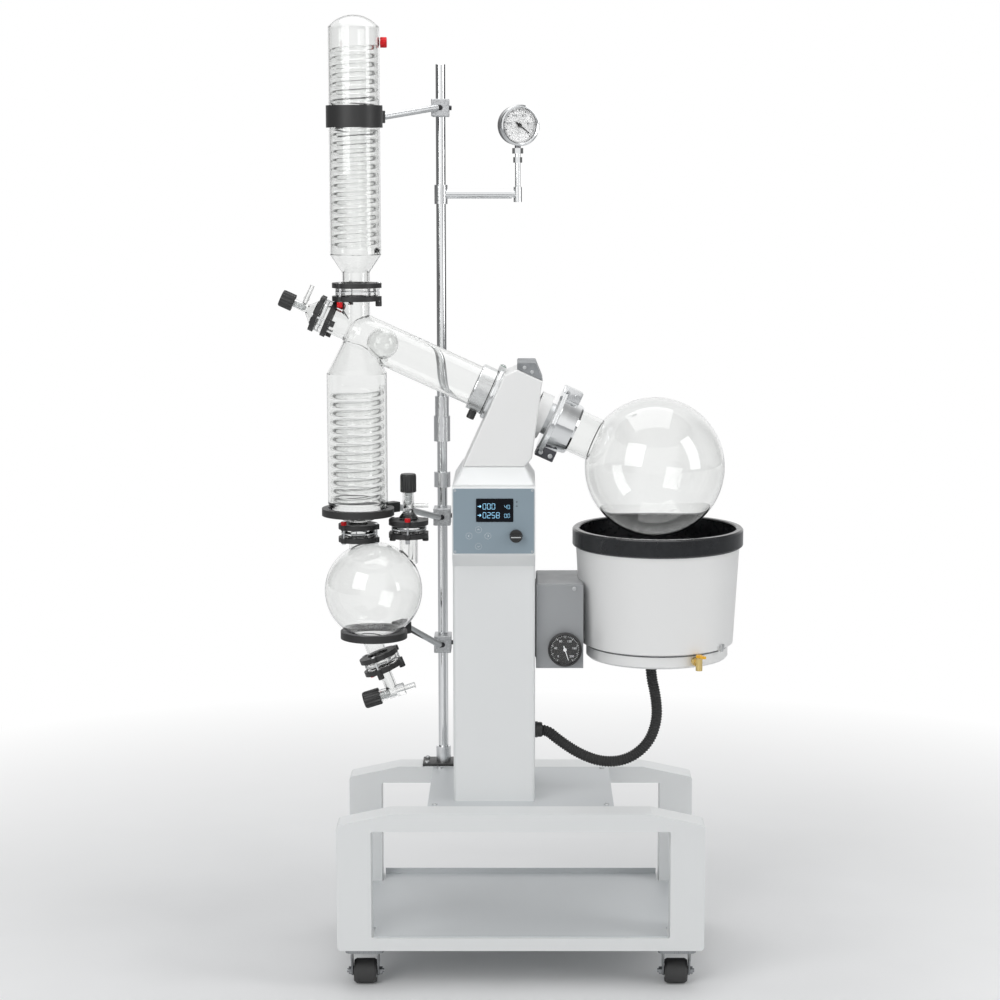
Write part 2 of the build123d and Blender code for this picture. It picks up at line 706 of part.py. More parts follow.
def lower_condenser():
    """The lower condenser in one piece with the vapour duct and the feed neck."""
    frame = upright(STACK_X)
    lip = LOWER_JOINT_Z
    top = UPPER_JOINT_Z
    wall = GLASS_WALL
    r = LOWER_RADIUS
    ri = r - wall
    neck = STACK_NECK
    feed = FEED_JOINT_S
    low = LOWER_BOTTOM
    crown = LOWER_SHOULDER
    duct = tilted()
    duct_start = HEAD_FACE + 17
    duct_end = 632.0
    with BuildPart() as glass:
        start = [(0, lip), (33, lip), (33, lip + LIP_HALF), (19, lip + LIP_HALF), (19, lip + 22)]
        end = [(r, low + 14), (r, crown), (neck, crown + 60), (neck, top - LIP_HALF), (40, top - LIP_HALF),
               (40, top), (0, top), (0, lip)]
        vessel(frame, start, [(19, lip + 22), (r * 0.78, low - 10), (r, low + 14)], end)
        turn(duct, [
            (0, duct_start), (DUCT_RADIUS, duct_start), (DUCT_RADIUS, duct_end), (DUCT_RADIUS - 1.5, duct_end + 9),
            (DUCT_RADIUS - 6, duct_end + 18), (FEED_NECK, duct_end + 27), (FEED_NECK, feed - LIP_HALF),
            (FEED_LIP, feed - LIP_HALF), (FEED_LIP, feed), (0, feed),
        ])
        start = [(0, lip - 1), (15, lip - 1), (15, lip + 23)]
        end = [(ri, low + 16), (ri, crown - 1), (neck - wall, crown + 59), (neck - wall, top + 1), (0, top + 1),
               (0, lip - 1)]
        vessel(frame, start, [(15, lip + 23), (ri * 0.76, low - 6), (ri, low + 16)], end, Mode.SUBTRACT)
        duct_bore = DUCT_RADIUS - wall
        turn(duct, [
            (0, duct_start - 1), (duct_bore, duct_start - 1), (duct_bore, duct_end), (duct_bore - 1.5, duct_end + 8),
            (duct_bore - 6, duct_end + 17), (FEED_NECK - wall, duct_end + 25), (FEED_NECK - wall, feed + 1),
            (0, feed + 1),
        ], Mode.SUBTRACT)
    save(glass.part, "lower_condenser")

    coil = helix_tube(48, COIL_TUBE + 0.5, 924, 1144, 16.4, STACK_X)
    save(coil, "lower_coil")

    ball_s = 585.0
    ball_radius = 31.0
    with BuildPart() as ball:
        with Locations(on_axis(ball_s)):
            Sphere(ball_radius)
        drip = across((0, 0, -1), on_axis(ball_s), 20)
        bar(drip, 10, 15)
        with Locations(on_axis(ball_s)):
            Sphere(ball_radius - 2.5, mode=Mode.SUBTRACT)
        bar(drip.offset(-10), 7.5, 40, Mode.SUBTRACT)
    save(ball.part, "splash_ball")


def receiver():
    """The receiving flask with two upper necks and a slanted drain neck."""
    r = RECEIVER_RADIUS
    wall = GLASS_WALL
    centre = (RECEIVER_X, 0, RECEIVER_Z)
    drain_way = (sin(radians(DRAIN_TILT)), 0, -cos(radians(DRAIN_TILT)))
    drain_joint = (DRAIN_JOINT_X, 0, DRAIN_JOINT_Z)
    necks = ((STACK_X, LOWER_JOINT_Z), (SIDE_NECK_X, VENT_JOINT_Z))
    with BuildPart() as flask:
        with Locations(centre):
            Sphere(r)
        for x, lip in necks:
            base = Plane((x, 0, RECEIVER_Z + 55))
            bar(base, NECK_RADIUS, lip - RECEIVER_Z - 56)
            turn(upright(x), [(0, lip - LIP_HALF), (33, lip - LIP_HALF), (33, lip), (0, lip)])
        bar(across(drain_way, drain_joint, -75), NECK_RADIUS + 1, 70)
        bar(across(drain_way, drain_joint, -LIP_HALF), 33, LIP_HALF)
        with Locations(centre):
            Sphere(r - wall, mode=Mode.SUBTRACT)
        for x, lip in necks:
            bar(Plane((x, 0, RECEIVER_Z + 40)), NECK_RADIUS - wall, 120, Mode.SUBTRACT)
        bar(across(drain_way, drain_joint, -80), NECK_RADIUS - 2, 90, Mode.SUBTRACT)
    save(flask.part, "receiving_flask")


def joints():
    """Each flange joint: its middle, its direction, ring radius and bore, nut length, rod angle."""
    drain_way = Vector(sin(radians(DRAIN_TILT)), 0, -cos(radians(DRAIN_TILT)))
    feed = on_axis(FEED_JOINT_S)
    return [
        (Vector(STACK_X, 0, UPPER_JOINT_Z), Vector(0, 0, 1), 46.5, 28.5, 8.0, 230.0),
        (Vector(STACK_X, 0, LOWER_JOINT_Z), Vector(0, 0, 1), 39.0, 20.0, 2.0, 225.0),
        (Vector(SIDE_NECK_X, 0, VENT_JOINT_Z), Vector(0, 0, 1), 39.0, 20.0, 8.0, 270.0),
        (Vector(DRAIN_JOINT_X, 0, DRAIN_JOINT_Z), drain_way * -1, 39.0, 21.0, 8.0, 50.0),
        (feed, AXIS_OUT, 36.0, 26.0, 8.0, 295.0),
    ]


def rod_spots(middle, way, outer, turn_deg):
    """The three rod centres of a flange joint on its middle plane."""
    side = Vector(1, 0, 0) if way.Z > 0.99 else Vector(0, 1, 0)
    plane = Plane(origin=middle, x_dir=side, z_dir=way)
    spots = []
    for step in range(3):
        angle = radians(turn_deg + 120 * step)
        local = Vector(cos(angle), sin(angle), 0) * (outer - 1.5)
        spots.append(plane.from_local_coords(local))
    return plane, spots


def flange_joints():
    """Clamp rings in pairs, the screwed rods through them and their nuts."""
    rings = []
    bolts = []
    reach = LIP_HALF + RING_THICK
    for middle, way, outer, bore, nut, turn_deg in joints():
        plane, spots = rod_spots(middle, way, outer, turn_deg)
        for start in (LIP_HALF, -reach):
            with BuildPart() as ring:
                with BuildSketch(plane.offset(start)):
                    Circle(outer)
                    with PolarLocations(outer - 1.5, 3, start_angle=turn_deg):
                        Circle(6)
                    Circle(bore, mode=Mode.SUBTRACT)
                    with PolarLocations(outer - 1.5, 3, start_angle=turn_deg):
                        Circle(2 + RUNNING_GAP, mode=Mode.SUBTRACT)
                extrude(amount=RING_THICK)
            rings.append(ring.part)
        for spot in spots:
            rod_plane = Plane(origin=spot, x_dir=plane.x_dir, z_dir=way)
            with BuildPart() as bolt:
                bar(rod_plane.offset(-reach - nut), 2, 2 * reach + nut + 2)
                bar(rod_plane.offset(-reach - nut), 4.6, nut)
                bar(rod_plane.offset(reach), 4, 2)
            bolts.append(bolt.part)
    save(Compound(children=rings), "flange_rings")
    save(Compound(children=bolts), "flange_bolts")


def valves():
    """The feed, vent and drain valves, each with a body and a ribbed knob."""
    axis = tilted()
    feed = FEED_JOINT_S
    drain_way = Vector(sin(radians(DRAIN_TILT)), 0, -cos(radians(DRAIN_TILT)))
    drain_joint = Vector(DRAIN_JOINT_X, 0, DRAIN_JOINT_Z)
    drain_side = Vector(cos(radians(17.5)), 0, sin(radians(17.5)))
    drain_middle = drain_joint + drain_way * 66
    vent = upright(SIDE_NECK_X)
    lip = VENT_JOINT_Z

    with BuildPart() as feed_body:
        turn(axis, [
            (22, feed), (FEED_LIP, feed), (FEED_LIP, feed + LIP_HALF), (24, feed + LIP_HALF), (24, feed + 20), (12, feed + 31),
            (9.5, feed + 34), (9.5, feed + 62), (6, feed + 62), (6, feed + 32), (9, feed + 29), (21, feed + 18),
        ])
        side = on_axis(feed + 43, 8.5)
        bar(across(AXIS_UP, side), 4.5, 38)
        bar(across(AXIS_UP, side, 8), 5.6, 4)
        bar(across(AXIS_UP, side, -5), 2.5, 60, Mode.SUBTRACT)
    with BuildPart() as vent_body:
        turn(vent, [
            (0, lip), (33, lip), (33, lip + LIP_HALF), (19, lip + LIP_HALF), (19, lip + 22), (11, lip + 32),
            (11, lip + 72),
            (7, lip + 72), (7, lip + 40), (0, lip + 40),
        ])
        bar(across((1, 0, 0), (SIDE_NECK_X + 9, 0, lip + 45)), 4.5, 30)
        bar(across((1, 0, 0), (SIDE_NECK_X + 6, 0, lip + 45)), 2.5, 40, Mode.SUBTRACT)
        bar(Plane((SIDE_NECK_X + 4, 0, lip - 62)), 5, 63)
    with BuildPart() as drain_body:
        bar(across(drain_way, drain_joint), 33, LIP_HALF)
        bar(across(drain_way, drain_joint), 19, 22)
        bar(across(drain_way, drain_joint), 12, 66)
        bar(across(drain_side, drain_middle, -26), 12, 50)
        bar(across(drain_side, drain_middle, 20), 6, 26)
        bar(across(drain_way, drain_joint, -1), 8, 62, Mode.SUBTRACT)
        bar(across(drain_side, drain_middle, -27), 7, 34, Mode.SUBTRACT)
        bar(across(drain_side, drain_middle, 0), 3, 60, Mode.SUBTRACT)
    bodies = Compound(children=[feed_body.part, vent_body.part, drain_body.part])
    save(bodies, "valve_bodies")

    feed_end = on_axis(feed + 62.4)
    knob("feed_valve_knob", tuple(feed_end), tuple(AXIS_OUT), 17, 27, 6 - RUNNING_GAP, 26)
    knob("vent_valve_knob", (SIDE_NECK_X, 0, lip + 72.4), (0, 0, 1), 15.8, 36, 7 - RUNNING_GAP, 26)
    drain_end = drain_middle + drain_side * -26.4
    knob("drain_valve_knob", tuple(drain_end), tuple(drain_side * -1), 17, 34, 7 - RUNNING_GAP, 20)


def clamp_arm(centre_x, reach, block_length, block_height, z, boss_z):
    """The block on a clamp or ring and the rod from it to the face of its boss head."""
    boss_face = POLE_Y - BOSS_SHIFT - BOSS_DEPTH / 2
    end = Vector(POLE_X - 6, boss_face, boss_z)
    flat = Vector(end.X - centre_x, end.Y, 0).normalized()
    base = Vector(centre_x, 0, z) + flat * reach
    with BuildSketch(Plane(origin=base, x_dir=(0, 0, 1), z_dir=flat)) as section:
        RectangleRounded(block_height, 22, 2)
    extrude(section.sketch, amount=block_length)
    start = base + flat * (block_length - 4)
    bar(across(end - start, tuple(start)), ROD_RADIUS, (end - start).length + 4)
    brick((POLE_X - 40, boss_face, boss_z - 40), (POLE_X + 40, boss_face + 60, boss_z + 40), Mode.SUBTRACT)


def pole_and_clamps():
    """The pole with its foot and collars, three boss heads and what they carry."""
    frame = upright(POLE_X, POLE_Y)
    with BuildPart() as pole:
        bar(Plane((POLE_X, POLE_Y, FRAME_TOP)), POLE_RADIUS, POLE_TOP - FRAME_TOP)
        chamfer(pole.edges().group_by(Axis.Z)[-1], 1.5)
    save(pole.part, "pole")

    with BuildPart() as foot:
        brick((POLE_X - 42, POLE_Y - 29, FRAME_TOP), (POLE_X + 42, POLE_Y + 29, FRAME_TOP + 6))
        fillet(foot.edges().filter_by(Axis.Z), 6)
        tube(frame, 15, POLE_RADIUS, FRAME_TOP, FRAME_TOP + 38)
        bar(Plane((POLE_X, POLE_Y, FRAME_TOP - 1)), POLE_RADIUS, 60, Mode.SUBTRACT)
    collars = [foot.part]
    for low, high, radius in ((1026, 1078, 16.5), (1078, 1118, 14.0), (932, 963, 16.5), (1505, 1543, 13.5)):
        with BuildPart() as collar:
            tube(frame, radius, POLE_RADIUS, low, high)
            if low == 1505:
                bar(across((1, 0, 0), (POLE_X + 8, POLE_Y, GAUGE_ARM_Z)), 9.5, 1)
                bar(Plane((POLE_X, POLE_Y, 1500)), POLE_RADIUS, 60, Mode.SUBTRACT)
        collars.append(collar.part)
    save(Compound(children=collars), "pole_fittings")

    bosses = []
    for z in BOSS_HEIGHTS:
        with BuildPart() as boss:
            with Locations((POLE_X, POLE_Y - BOSS_SHIFT, z)):
                Box(BOSS_SIZE, BOSS_DEPTH, BOSS_SIZE)
            fillet(boss.edges(), 2)
            bar(Plane((POLE_X, POLE_Y, z - 30)), POLE_RADIUS, 60, Mode.SUBTRACT)
        bosses.append(boss.part)
    save(Compound(children=bosses), "boss_heads")

    with BuildPart() as band:
        tube(upright(STACK_X), UPPER_RADIUS + 5, UPPER_RADIUS + 0.2, CLAMP_Z - 21, CLAMP_Z + 21)
        clamp_arm(STACK_X, UPPER_RADIUS + 3, 16, 24, CLAMP_Z, BOSS_HEIGHTS[0])
        tube(upright(STACK_X), UPPER_RADIUS + 0.2, 0, CLAMP_Z - 30, CLAMP_Z + 30, Mode.SUBTRACT)
    save(band.part, "band_clamp")

    with BuildPart() as upper_ring:
        tube(upright(STACK_X), 71, LOWER_RADIUS + 1, UPPER_RING_Z - 7, UPPER_RING_Z + 7)
        clamp_arm(STACK_X, 69, 30, 20, UPPER_RING_Z, BOSS_HEIGHTS[1])
    save(upper_ring.part, "support_ring_upper")

    ring_radius = 66.0
    seat = sqrt(RECEIVER_RADIUS ** 2 - (RECEIVER_Z - LOWER_RING_Z - 7) ** 2)
    with BuildPart() as lower_ring:
        tube(upright(RECEIVER_X), ring_radius, seat - 6, LOWER_RING_Z - 7, LOWER_RING_Z + 7)
        clamp_arm(RECEIVER_X, 64, 32, 24, LOWER_RING_Z, BOSS_HEIGHTS[2])
        with Locations((RECEIVER_X, 0, RECEIVER_Z)):
            Sphere(RECEIVER_RADIUS, mode=Mode.SUBTRACT)
    save(lower_ring.part, "support_ring_lower")


def vacuum_gauge():
    """The arm from the pole, its upright pipe, and the round gauge on top."""
    with BuildPart() as pipework:
        arm_start = POLE_X + 9
        bar(across((1, 0, 0), (arm_start, POLE_Y, GAUGE_ARM_Z)), 9.5, GAUGE_X - 12 - arm_start)
        bar(across((1, 0, 0), (GAUGE_X - 13, POLE_Y, GAUGE_ARM_Z)), 7, 8)
        bar(Plane((GAUGE_X, POLE_Y, GAUGE_ARM_Z - 16)), 8.5, 30)
        bar(Plane((GAUGE_X, POLE_Y, GAUGE_ARM_Z + 10)), 5.5, 78)
        with BuildSketch(Plane((GAUGE_X, POLE_Y, GAUGE_ARM_Z + 62))):
            RegularPolygon(radius=9, side_count=6)
        extrude(amount=11)
        with BuildSketch(Plane((GAUGE_X, POLE_Y, GAUGE_ARM_Z + 80))):
            RegularPolygon(radius=11, side_count=6)
        extrude(amount=11)
        bar(Plane((POLE_X, POLE_Y, GAUGE_ARM_Z - 40)), 13.5, 80, Mode.SUBTRACT)
    save(pipework.part, "gauge_pipework")

    turn_rad = radians(GAUGE_TURN)
    facing = Vector(sin(turn_rad), -cos(turn_rad), 0)
    side = Vector(cos(turn_rad), sin(turn_rad), 0)
    middle = Vector(GAUGE_X, POLE_Y, GAUGE_Z)
    frame = Plane(origin=middle, x_dir=side, z_dir=side.cross(facing))
    r = GAUGE_RADIUS
    with BuildPart() as case:
        turn(frame, [
            (0, -16), (r - 5, -16), (r - 2, -12), (r - 2, 8), (r, 8), (r, 16), (r - 4, 18), (r - 4.5, 15),
            (r - 5, 9), (2.05, 9), (2.05, 4), (0, 4),
        ])
        bar(Plane((GAUGE_X, POLE_Y, GAUGE_ARM_Z + 91)), 6, GAUGE_Z - GAUGE_ARM_Z - 91 - r + 8)
    save(case.part, "vacuum_gauge")

    with BuildPart() as needle:
        bar(Plane(origin=middle + facing * 4.2, x_dir=side, z_dir=facing), 2, 7)
        pointing = side * cos(radians(GAUGE_NEEDLE)) + Vector(0, 0, 1) * sin(radians(GAUGE_NEEDLE))
        with BuildSketch(Plane(origin=middle + facing * 10.2, x_dir=pointing, z_dir=facing)):
            Circle(4.5)
            with BuildLine():
                Polyline((-10, -1.6), (-10, 1.6), (24, 0.7), (29, 0), (24, -0.7), close=True)
            make_face()
        extrude(amount=1)
    save(needle.part, "gauge_needle")


def bath():
    """The heating bath: pot, rim, jacket, carriage, drain tap and thermometer."""
    frame = upright(BATH_X)
    top = BATH_RIM_TOP
    shoulder = top - BATH_RIM_HEIGHT
    with BuildPart() as pot:
        turn(frame, [
            (0, BATH_SHELL_BOTTOM + 6), (POT_RADIUS - 18, BATH_SHELL_BOTTOM + 6), (POT_RADIUS - 8, BATH_SHELL_BOTTOM + 16),
            (POT_RADIUS + POT_WALL, top - 4), (POT_RADIUS, top - 4), (POT_RADIUS - 11, BATH_SHELL_BOTTOM + 18),
            (POT_RADIUS - 20, BATH_SHELL_BOTTOM + 9), (0, BATH_SHELL_BOTTOM + 9),
        ])
    save(pot.part, "bath_pot")

    with BuildPart() as rim:
        turn(frame, [
            (POT_RADIUS + POT_WALL, shoulder), (BATH_RIM_RADIUS - 1, shoulder), (BATH_RIM_RADIUS, shoulder + 2),
            (BATH_RIM_RADIUS, top - 3), (BATH_RIM_RADIUS - 3, top), (POT_RADIUS + 2, top), (POT_RADIUS, top - 2),
            (POT_RADIUS, top - 4), (POT_RADIUS + POT_WALL, top - 4),
        ])
    save(rim.part, "bath_rim")

    with BuildPart() as jacket:
        turn(frame, [
            (0, BATH_FLOOR), (BATH_BODY_BOTTOM - 14, BATH_FLOOR), (BATH_BODY_BOTTOM - 10, BATH_FLOOR + 4),
            (BATH_BODY_BOTTOM - 10, BATH_SHELL_BOTTOM - 4), (BATH_BODY_BOTTOM, BATH_SHELL_BOTTOM),
            (BATH_BODY_TOP, shoulder), (POT_RADIUS + POT_WALL + 0.2, shoulder), (POT_RADIUS - 8, BATH_SHELL_BOTTOM + 16),
            (POT_RADIUS - 18, BATH_SHELL_BOTTOM + 6), (0, BATH_SHELL_BOTTOM + 6),
        ])
    save(jacket.part, "bath_shell")

    with BuildPart() as carriage:
        brick((CARRIAGE_LEFT, CARRIAGE_FRONT, CARRIAGE_BOTTOM), (CARRIAGE_RIGHT, CARRIAGE_BACK, CARRIAGE_TOP))
        fillet(carriage.edges().filter_by(Axis.Y).group_by(Axis.Z)[-1], 4)
        fillet(carriage.faces().sort_by(Axis.Y)[0].edges(), 2)
        brick((CARRIAGE_LEFT - 20, -GROOVE_WIDTH / 2 + 0.2, CARRIAGE_BOTTOM + 8), (CARRIAGE_LEFT + 2,
              GROOVE_WIDTH / 2 - 0.2, CARRIAGE_TOP - 8))
        bar(across((0, 1, 0), (THERMO_X, CARRIAGE_FRONT, THERMO_Z)), 4, 12, Mode.SUBTRACT)
        turn(frame, [(0, 600), (BATH_BODY_BOTTOM + 0.2, 600), (BATH_BODY_BOTTOM + 0.2, BATH_SHELL_BOTTOM),
                     (BATH_BODY_TOP + 0.2, shoulder), (0, shoulder)], Mode.SUBTRACT)
    save(carriage.part, "bath_carriage")

    tap_way = Vector(cos(radians(TAP_ANGLE)), sin(radians(TAP_ANGLE)), 0)
    tap_start = Vector(BATH_X, 0, 634) + tap_way * (BATH_BODY_BOTTOM - 10)
    with BuildPart() as tap:
        bar(across(tap_way, tuple(tap_start)), 7, 18)
        bar(across(tap_way, tuple(tap_start), 4), 9, 8)
        bar(Plane(tap_start + tap_way * 17 - Vector(0, 0, 16)), 6.5, 25.2)
        bar(Plane(tap_start + tap_way * 17 - Vector(0, 0, 20)), 3.2, 60, Mode.SUBTRACT)
    save(tap.part, "bath_tap")

    pivot = tap_start + tap_way * 17 + Vector(0, 0, 9.6)
    with BuildPart() as lever:
        bar(Plane(pivot), 6, 5)
        bar(Plane(pivot - Vector(0, 0, 8)), 3.2 - RUNNING_GAP, 9)
        with BuildSketch(Plane(origin=pivot + Vector(0, 0, 1), x_dir=tap_way, z_dir=(0, 0, 1))):
            with Locations((9, 0)):
                SlotOverall(26, 8)
        extrude(amount=4)
    save(lever.part, "bath_tap_lever")

    frame = Plane(origin=(THERMO_X, CARRIAGE_FRONT, THERMO_Z), x_dir=(1, 0, 0), z_dir=(0, 0, -1))
    r = THERMO_RADIUS
    with BuildPart() as thermometer:
        turn(frame, [
            (0, -11), (3.9, -11), (3.9, 0), (r - 3, 0), (r, 4), (r, 13), (r - 2.5, 15), (r - 4, 13), (r - 4, 10),
            (1.6, 10), (1.6, 6), (0, 6),
        ])
    save(thermometer.part, "bath_thermometer")

    with BuildPart() as needle:
        plane = across((0, -1, 0), (THERMO_X, CARRIAGE_FRONT - 6.2, THERMO_Z))
        bar(plane, 1.55, 6)
        pointing = (cos(radians(THERMO_NEEDLE)), 0, sin(radians(THERMO_NEEDLE)))
        with BuildSketch(Plane(origin=(THERMO_X, CARRIAGE_FRONT - 10.8, THERMO_Z), x_dir=pointing,
                               z_dir=(0, -1, 0))):
            Circle(3.4)
            with BuildLine():
                Polyline((-8, -1.2), (-8, 1.2), (20, 0.6), (23, 0), (20, -0.6), close=True)
            make_face()
        extrude(amount=1)
    save(needle.part, "thermometer_needle")


def conduit():
    """The ribbed conduit as a plain tube on straight runs and tangent arcs."""
    route = [Vector(*point) for point in CONDUIT_ROUTE]
    radii = []
    for before, corner, after in zip(route, route[1:], route[2:]):
        run_in = corner - before
        run_out = after - corner
        half_turn = radians(run_in.get_angle(run_out)) / 2
        radii.append(0.45 * min(run_in.length, run_out.length) / tan(half_turn))
    print("conduit radii", [round(value) for value in radii])
    with BuildPart() as hose:
        with BuildLine() as path:
            FilletPolyline(*route, radius=radii)
        with BuildSketch(Plane(origin=route[0], z_dir=(route[1] - route[0]))):
            Circle(CONDUIT_RADIUS)
        sweep()
    length = path.wires()[0].length
    ratio = hose.part.volume / (length * pi * CONDUIT_RADIUS ** 2)
    print("conduit length", round(length), "volume ratio", round(ratio, 4))
    save(hose.part, "bath_conduit")


def main():
    """Build every piece and write it."""
    os.makedirs("parts", exist_ok=True)
    cart()
    column()
    head()
    rotating_glass()
    coupling()
    upper_condenser()
    lower_condenser()
    receiver()
    flange_joints()
    valves()
    pole_and_clamps()
    vacuum_gauge()
    bath()
    conduit()


main()
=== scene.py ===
import math
from itertools import product

import bmesh
import bpy
from bpy.props import FloatProperty, FloatVectorProperty, IntProperty, PointerProperty
from mathutils import Matrix, Vector


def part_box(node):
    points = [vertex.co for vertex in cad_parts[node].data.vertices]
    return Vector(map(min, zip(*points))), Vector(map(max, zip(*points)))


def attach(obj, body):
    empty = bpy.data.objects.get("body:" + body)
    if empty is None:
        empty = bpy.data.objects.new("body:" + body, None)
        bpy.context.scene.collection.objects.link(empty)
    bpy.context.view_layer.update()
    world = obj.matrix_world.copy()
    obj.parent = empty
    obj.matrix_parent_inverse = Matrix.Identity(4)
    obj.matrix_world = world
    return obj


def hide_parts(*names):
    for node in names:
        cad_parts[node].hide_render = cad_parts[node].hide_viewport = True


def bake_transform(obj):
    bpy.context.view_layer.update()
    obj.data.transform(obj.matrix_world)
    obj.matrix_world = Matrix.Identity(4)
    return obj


bl_info = {
    "name": "Rotary evaporator",
    "version": (1, 0, 0),
    "blender": (4, 5, 0),
    "location": "3D View > Sidebar > Evaporator",
    "description": "Dresses the rotary evaporator: glass, drive head, heating bath, cart and dials",
    "category": "Add Mesh",
}

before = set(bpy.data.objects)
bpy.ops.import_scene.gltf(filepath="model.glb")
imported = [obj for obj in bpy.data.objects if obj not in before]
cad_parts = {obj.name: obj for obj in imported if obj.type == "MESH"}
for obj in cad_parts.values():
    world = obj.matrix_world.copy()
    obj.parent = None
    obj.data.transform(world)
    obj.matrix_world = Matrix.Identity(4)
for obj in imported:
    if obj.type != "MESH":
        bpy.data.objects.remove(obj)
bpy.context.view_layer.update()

TILT = math.radians(24.5)
OUT = Vector((-math.cos(TILT), 0.0, math.sin(TILT)))
UP = Vector((math.sin(TILT), 0.0, math.cos(TILT)))
FLASK = Vector((0.28, 0.0, 0.996))
STACK_X = -0.303
RECEIVER_X = -0.274
POLE = Vector((-0.143, 0.18, 0.0))
BATH_X = 0.287
COLUMN_X = -0.0345
PANEL_Y = -0.1515
GAUGE = Vector((0.011, 0.18, 1.661))
GAUGE_FACING = Vector((math.sin(math.radians(20)), -math.cos(math.radians(20)), 0.0))
THERMOMETER = Vector((0.103, -0.09, 0.651))
FRONT = Vector((0.0, -1.0, 0.0))
BACK = Vector((0.0, 1.0, 0.0))
RIGHT = Vector((1.0, 0.0, 0.0))
UPWARD = Vector((0.0, 0.0, 1.0))
DOWNWARD = Vector((0.0, 0.0, -1.0))
DRAIN_WAY = Vector((math.sin(math.radians(21)), 0.0, -math.cos(math.radians(21))))
FEED_S = 0.7115
LIP_HALF = 0.008
RING_THICK = 0.0095
NUMERAL_HEIGHT = 0.0044
FONT_SHARE = 1.38
SHARP_ANGLE = math.radians(32)
WHITE = (1.0, 1.0, 1.0, 1.0)

# The camera, worked out from the cart's front and back frames
CAMERA_SPOT = (0.017, -4.5752, 1.5923)
CAMERA_TURN = (math.radians(90 - 8.2325), 0.0, 0.0)
CAMERA_SHIFT = -0.0207

# Softboxes: name, spot, target, width, height, share of the key light's power
SOFTBOXES = (
    ("front_softbox", (-2.2, -3.0, 2.8), (0.0, 0.0, 1.0), 2.4, 2.8, 1.0),
    ("right_softbox", (3.0, -1.2, 2.2), (0.0, 0.0, 0.9), 1.2, 2.6, 0.55),
    ("top_softbox", (0.0, 0.4, 3.6), (0.0, 0.0, 0.8), 2.4, 2.4, 0.45),
)

DRAIN_JOINT = Vector((-0.2607, 0.0, 0.6065))
DRAIN_SIDE = Vector((math.cos(math.radians(17.5)), 0.0, math.sin(math.radians(17.5))))

# Flange joints: middle, direction, rod circle radius, lip radius, nuts on its rods, angle of the rod with
# the red cap, red cap on the far side
JOINTS = (
    (Vector((STACK_X, 0.0, 1.339)), UPWARD, 0.045, 0.04, True, 230.0, False),
    (Vector((STACK_X, 0.0, 0.866)), UPWARD, 0.0375, 0.033, False, 225.0, True),
    (Vector((-0.204, 0.0, 0.874)), UPWARD, 0.0375, 0.033, True, 270.0, True),
    (DRAIN_JOINT, DRAIN_WAY * -1, 0.0375, 0.033, True, 50.0, False),
    (FLASK + OUT * FEED_S, OUT, 0.0345, 0.0315, True, 295.0, False),
)

CONDUIT_ROUTE = (
    (0.274, -0.02, 0.62),
    (0.274, -0.02, 0.586),
    (0.285, -0.023, 0.54),
    (0.288, -0.026, 0.495),
    (0.272, -0.03, 0.448),
    (0.232, -0.036, 0.416),
    (0.182, -0.042, 0.411),
    (0.133, -0.044, 0.429),
    (0.089, -0.042, 0.459),
    (0.068, -0.041, 0.478),
    (0.045, -0.041, 0.478),
)


def on_axis(along, up=0.0, y=0.0):
    """A point by its distance along the rotation axis from the flask centre and above it."""
    return FLASK + OUT * along + UP * up + Vector((0.0, y, 0.0))


def colour_property(name, description, value):
    """A colour that the user can change in the sidebar."""
    return FloatVectorProperty(name=name, description=description, subtype="COLOR", size=3, min=0.0, max=1.0,
                               default=value)


class EvaporatorColours(bpy.types.PropertyGroup):
    """Colours of the evaporator's finishes."""

    cart: colour_property("Cart", "Light grey powder coat of the cart and the column", (0.6, 0.61, 0.62))
    shelf: colour_property("Shelf", "Grey coat of the deck and the shelf", (0.42, 0.43, 0.44))
    white: colour_property("White", "White paint of the drive head and the bath", (0.72, 0.73, 0.72))
    carriage: colour_property("Carriage", "Grey paint of the bath's carriage", (0.36, 0.37, 0.38))
    panel: colour_property("Panel", "Blue-grey film of the control panel", (0.27, 0.34, 0.39))
    black: colour_property("Black", "Black plastic and black paint", (0.006, 0.006, 0.007))
    cap: colour_property("Caps", "Red plastic of the small caps", (0.7, 0.015, 0.02))
    digits: colour_property("Digits", "Lit segments of the display", (0.35, 0.72, 1.0))
    tap: colour_property("Tap", "Yellow of the drain tap", (0.8, 0.42, 0.03))
    glass: colour_property("Glass", "Tint of the clear glass", (0.93, 0.935, 0.93))


class EvaporatorSizes(bpy.types.PropertyGroup):
    """Sizes of the details that the scene adds."""

    rib_pitch: FloatProperty(name="Rib pitch", description="Distance between two ribs of the conduit",
                             default=0.0052, min=0.003, max=0.01, unit="LENGTH")
    screw_radius: FloatProperty(name="Screw radius", description="Radius of the small cap screws' heads",
                                default=0.0042, min=0.002, max=0.006, unit="LENGTH")
    coil_sides: IntProperty(name="Coil sides", description="Sides around the coiled glass tubes", default=12,
                            min=6, max=24)
    camera_lens: FloatProperty(name="Lens", description="Focal length of the camera", default=84.6, min=20.0,
                               max=200.0)
    key_power: FloatProperty(name="Key light", description="Power of the large front light in watts",
                             default=62.0, min=0.0, max=1000.0)


def colours():
    """The colours set in the sidebar."""
    return bpy.context.scene.evaporator_colours


def sizes():
    """The sizes set in the sidebar."""
    return bpy.context.scene.evaporator_sizes


def shader_node(tree, kind, values=None, **settings):
    """A new node with its own settings and the values of its inputs."""
    node = tree.nodes.new(kind)
    for name, value in settings.items():
        setattr(node, name, value)
    for socket, value in (values or {}).items():
        node.inputs[socket].default_value = value
    return node


def link_all(tree, links):
    """Join nodes, each link given as a node, its output, the next node and its input."""
    for source, output, target, socket in links:
        tree.links.new(source.outputs[output], target.inputs[socket])


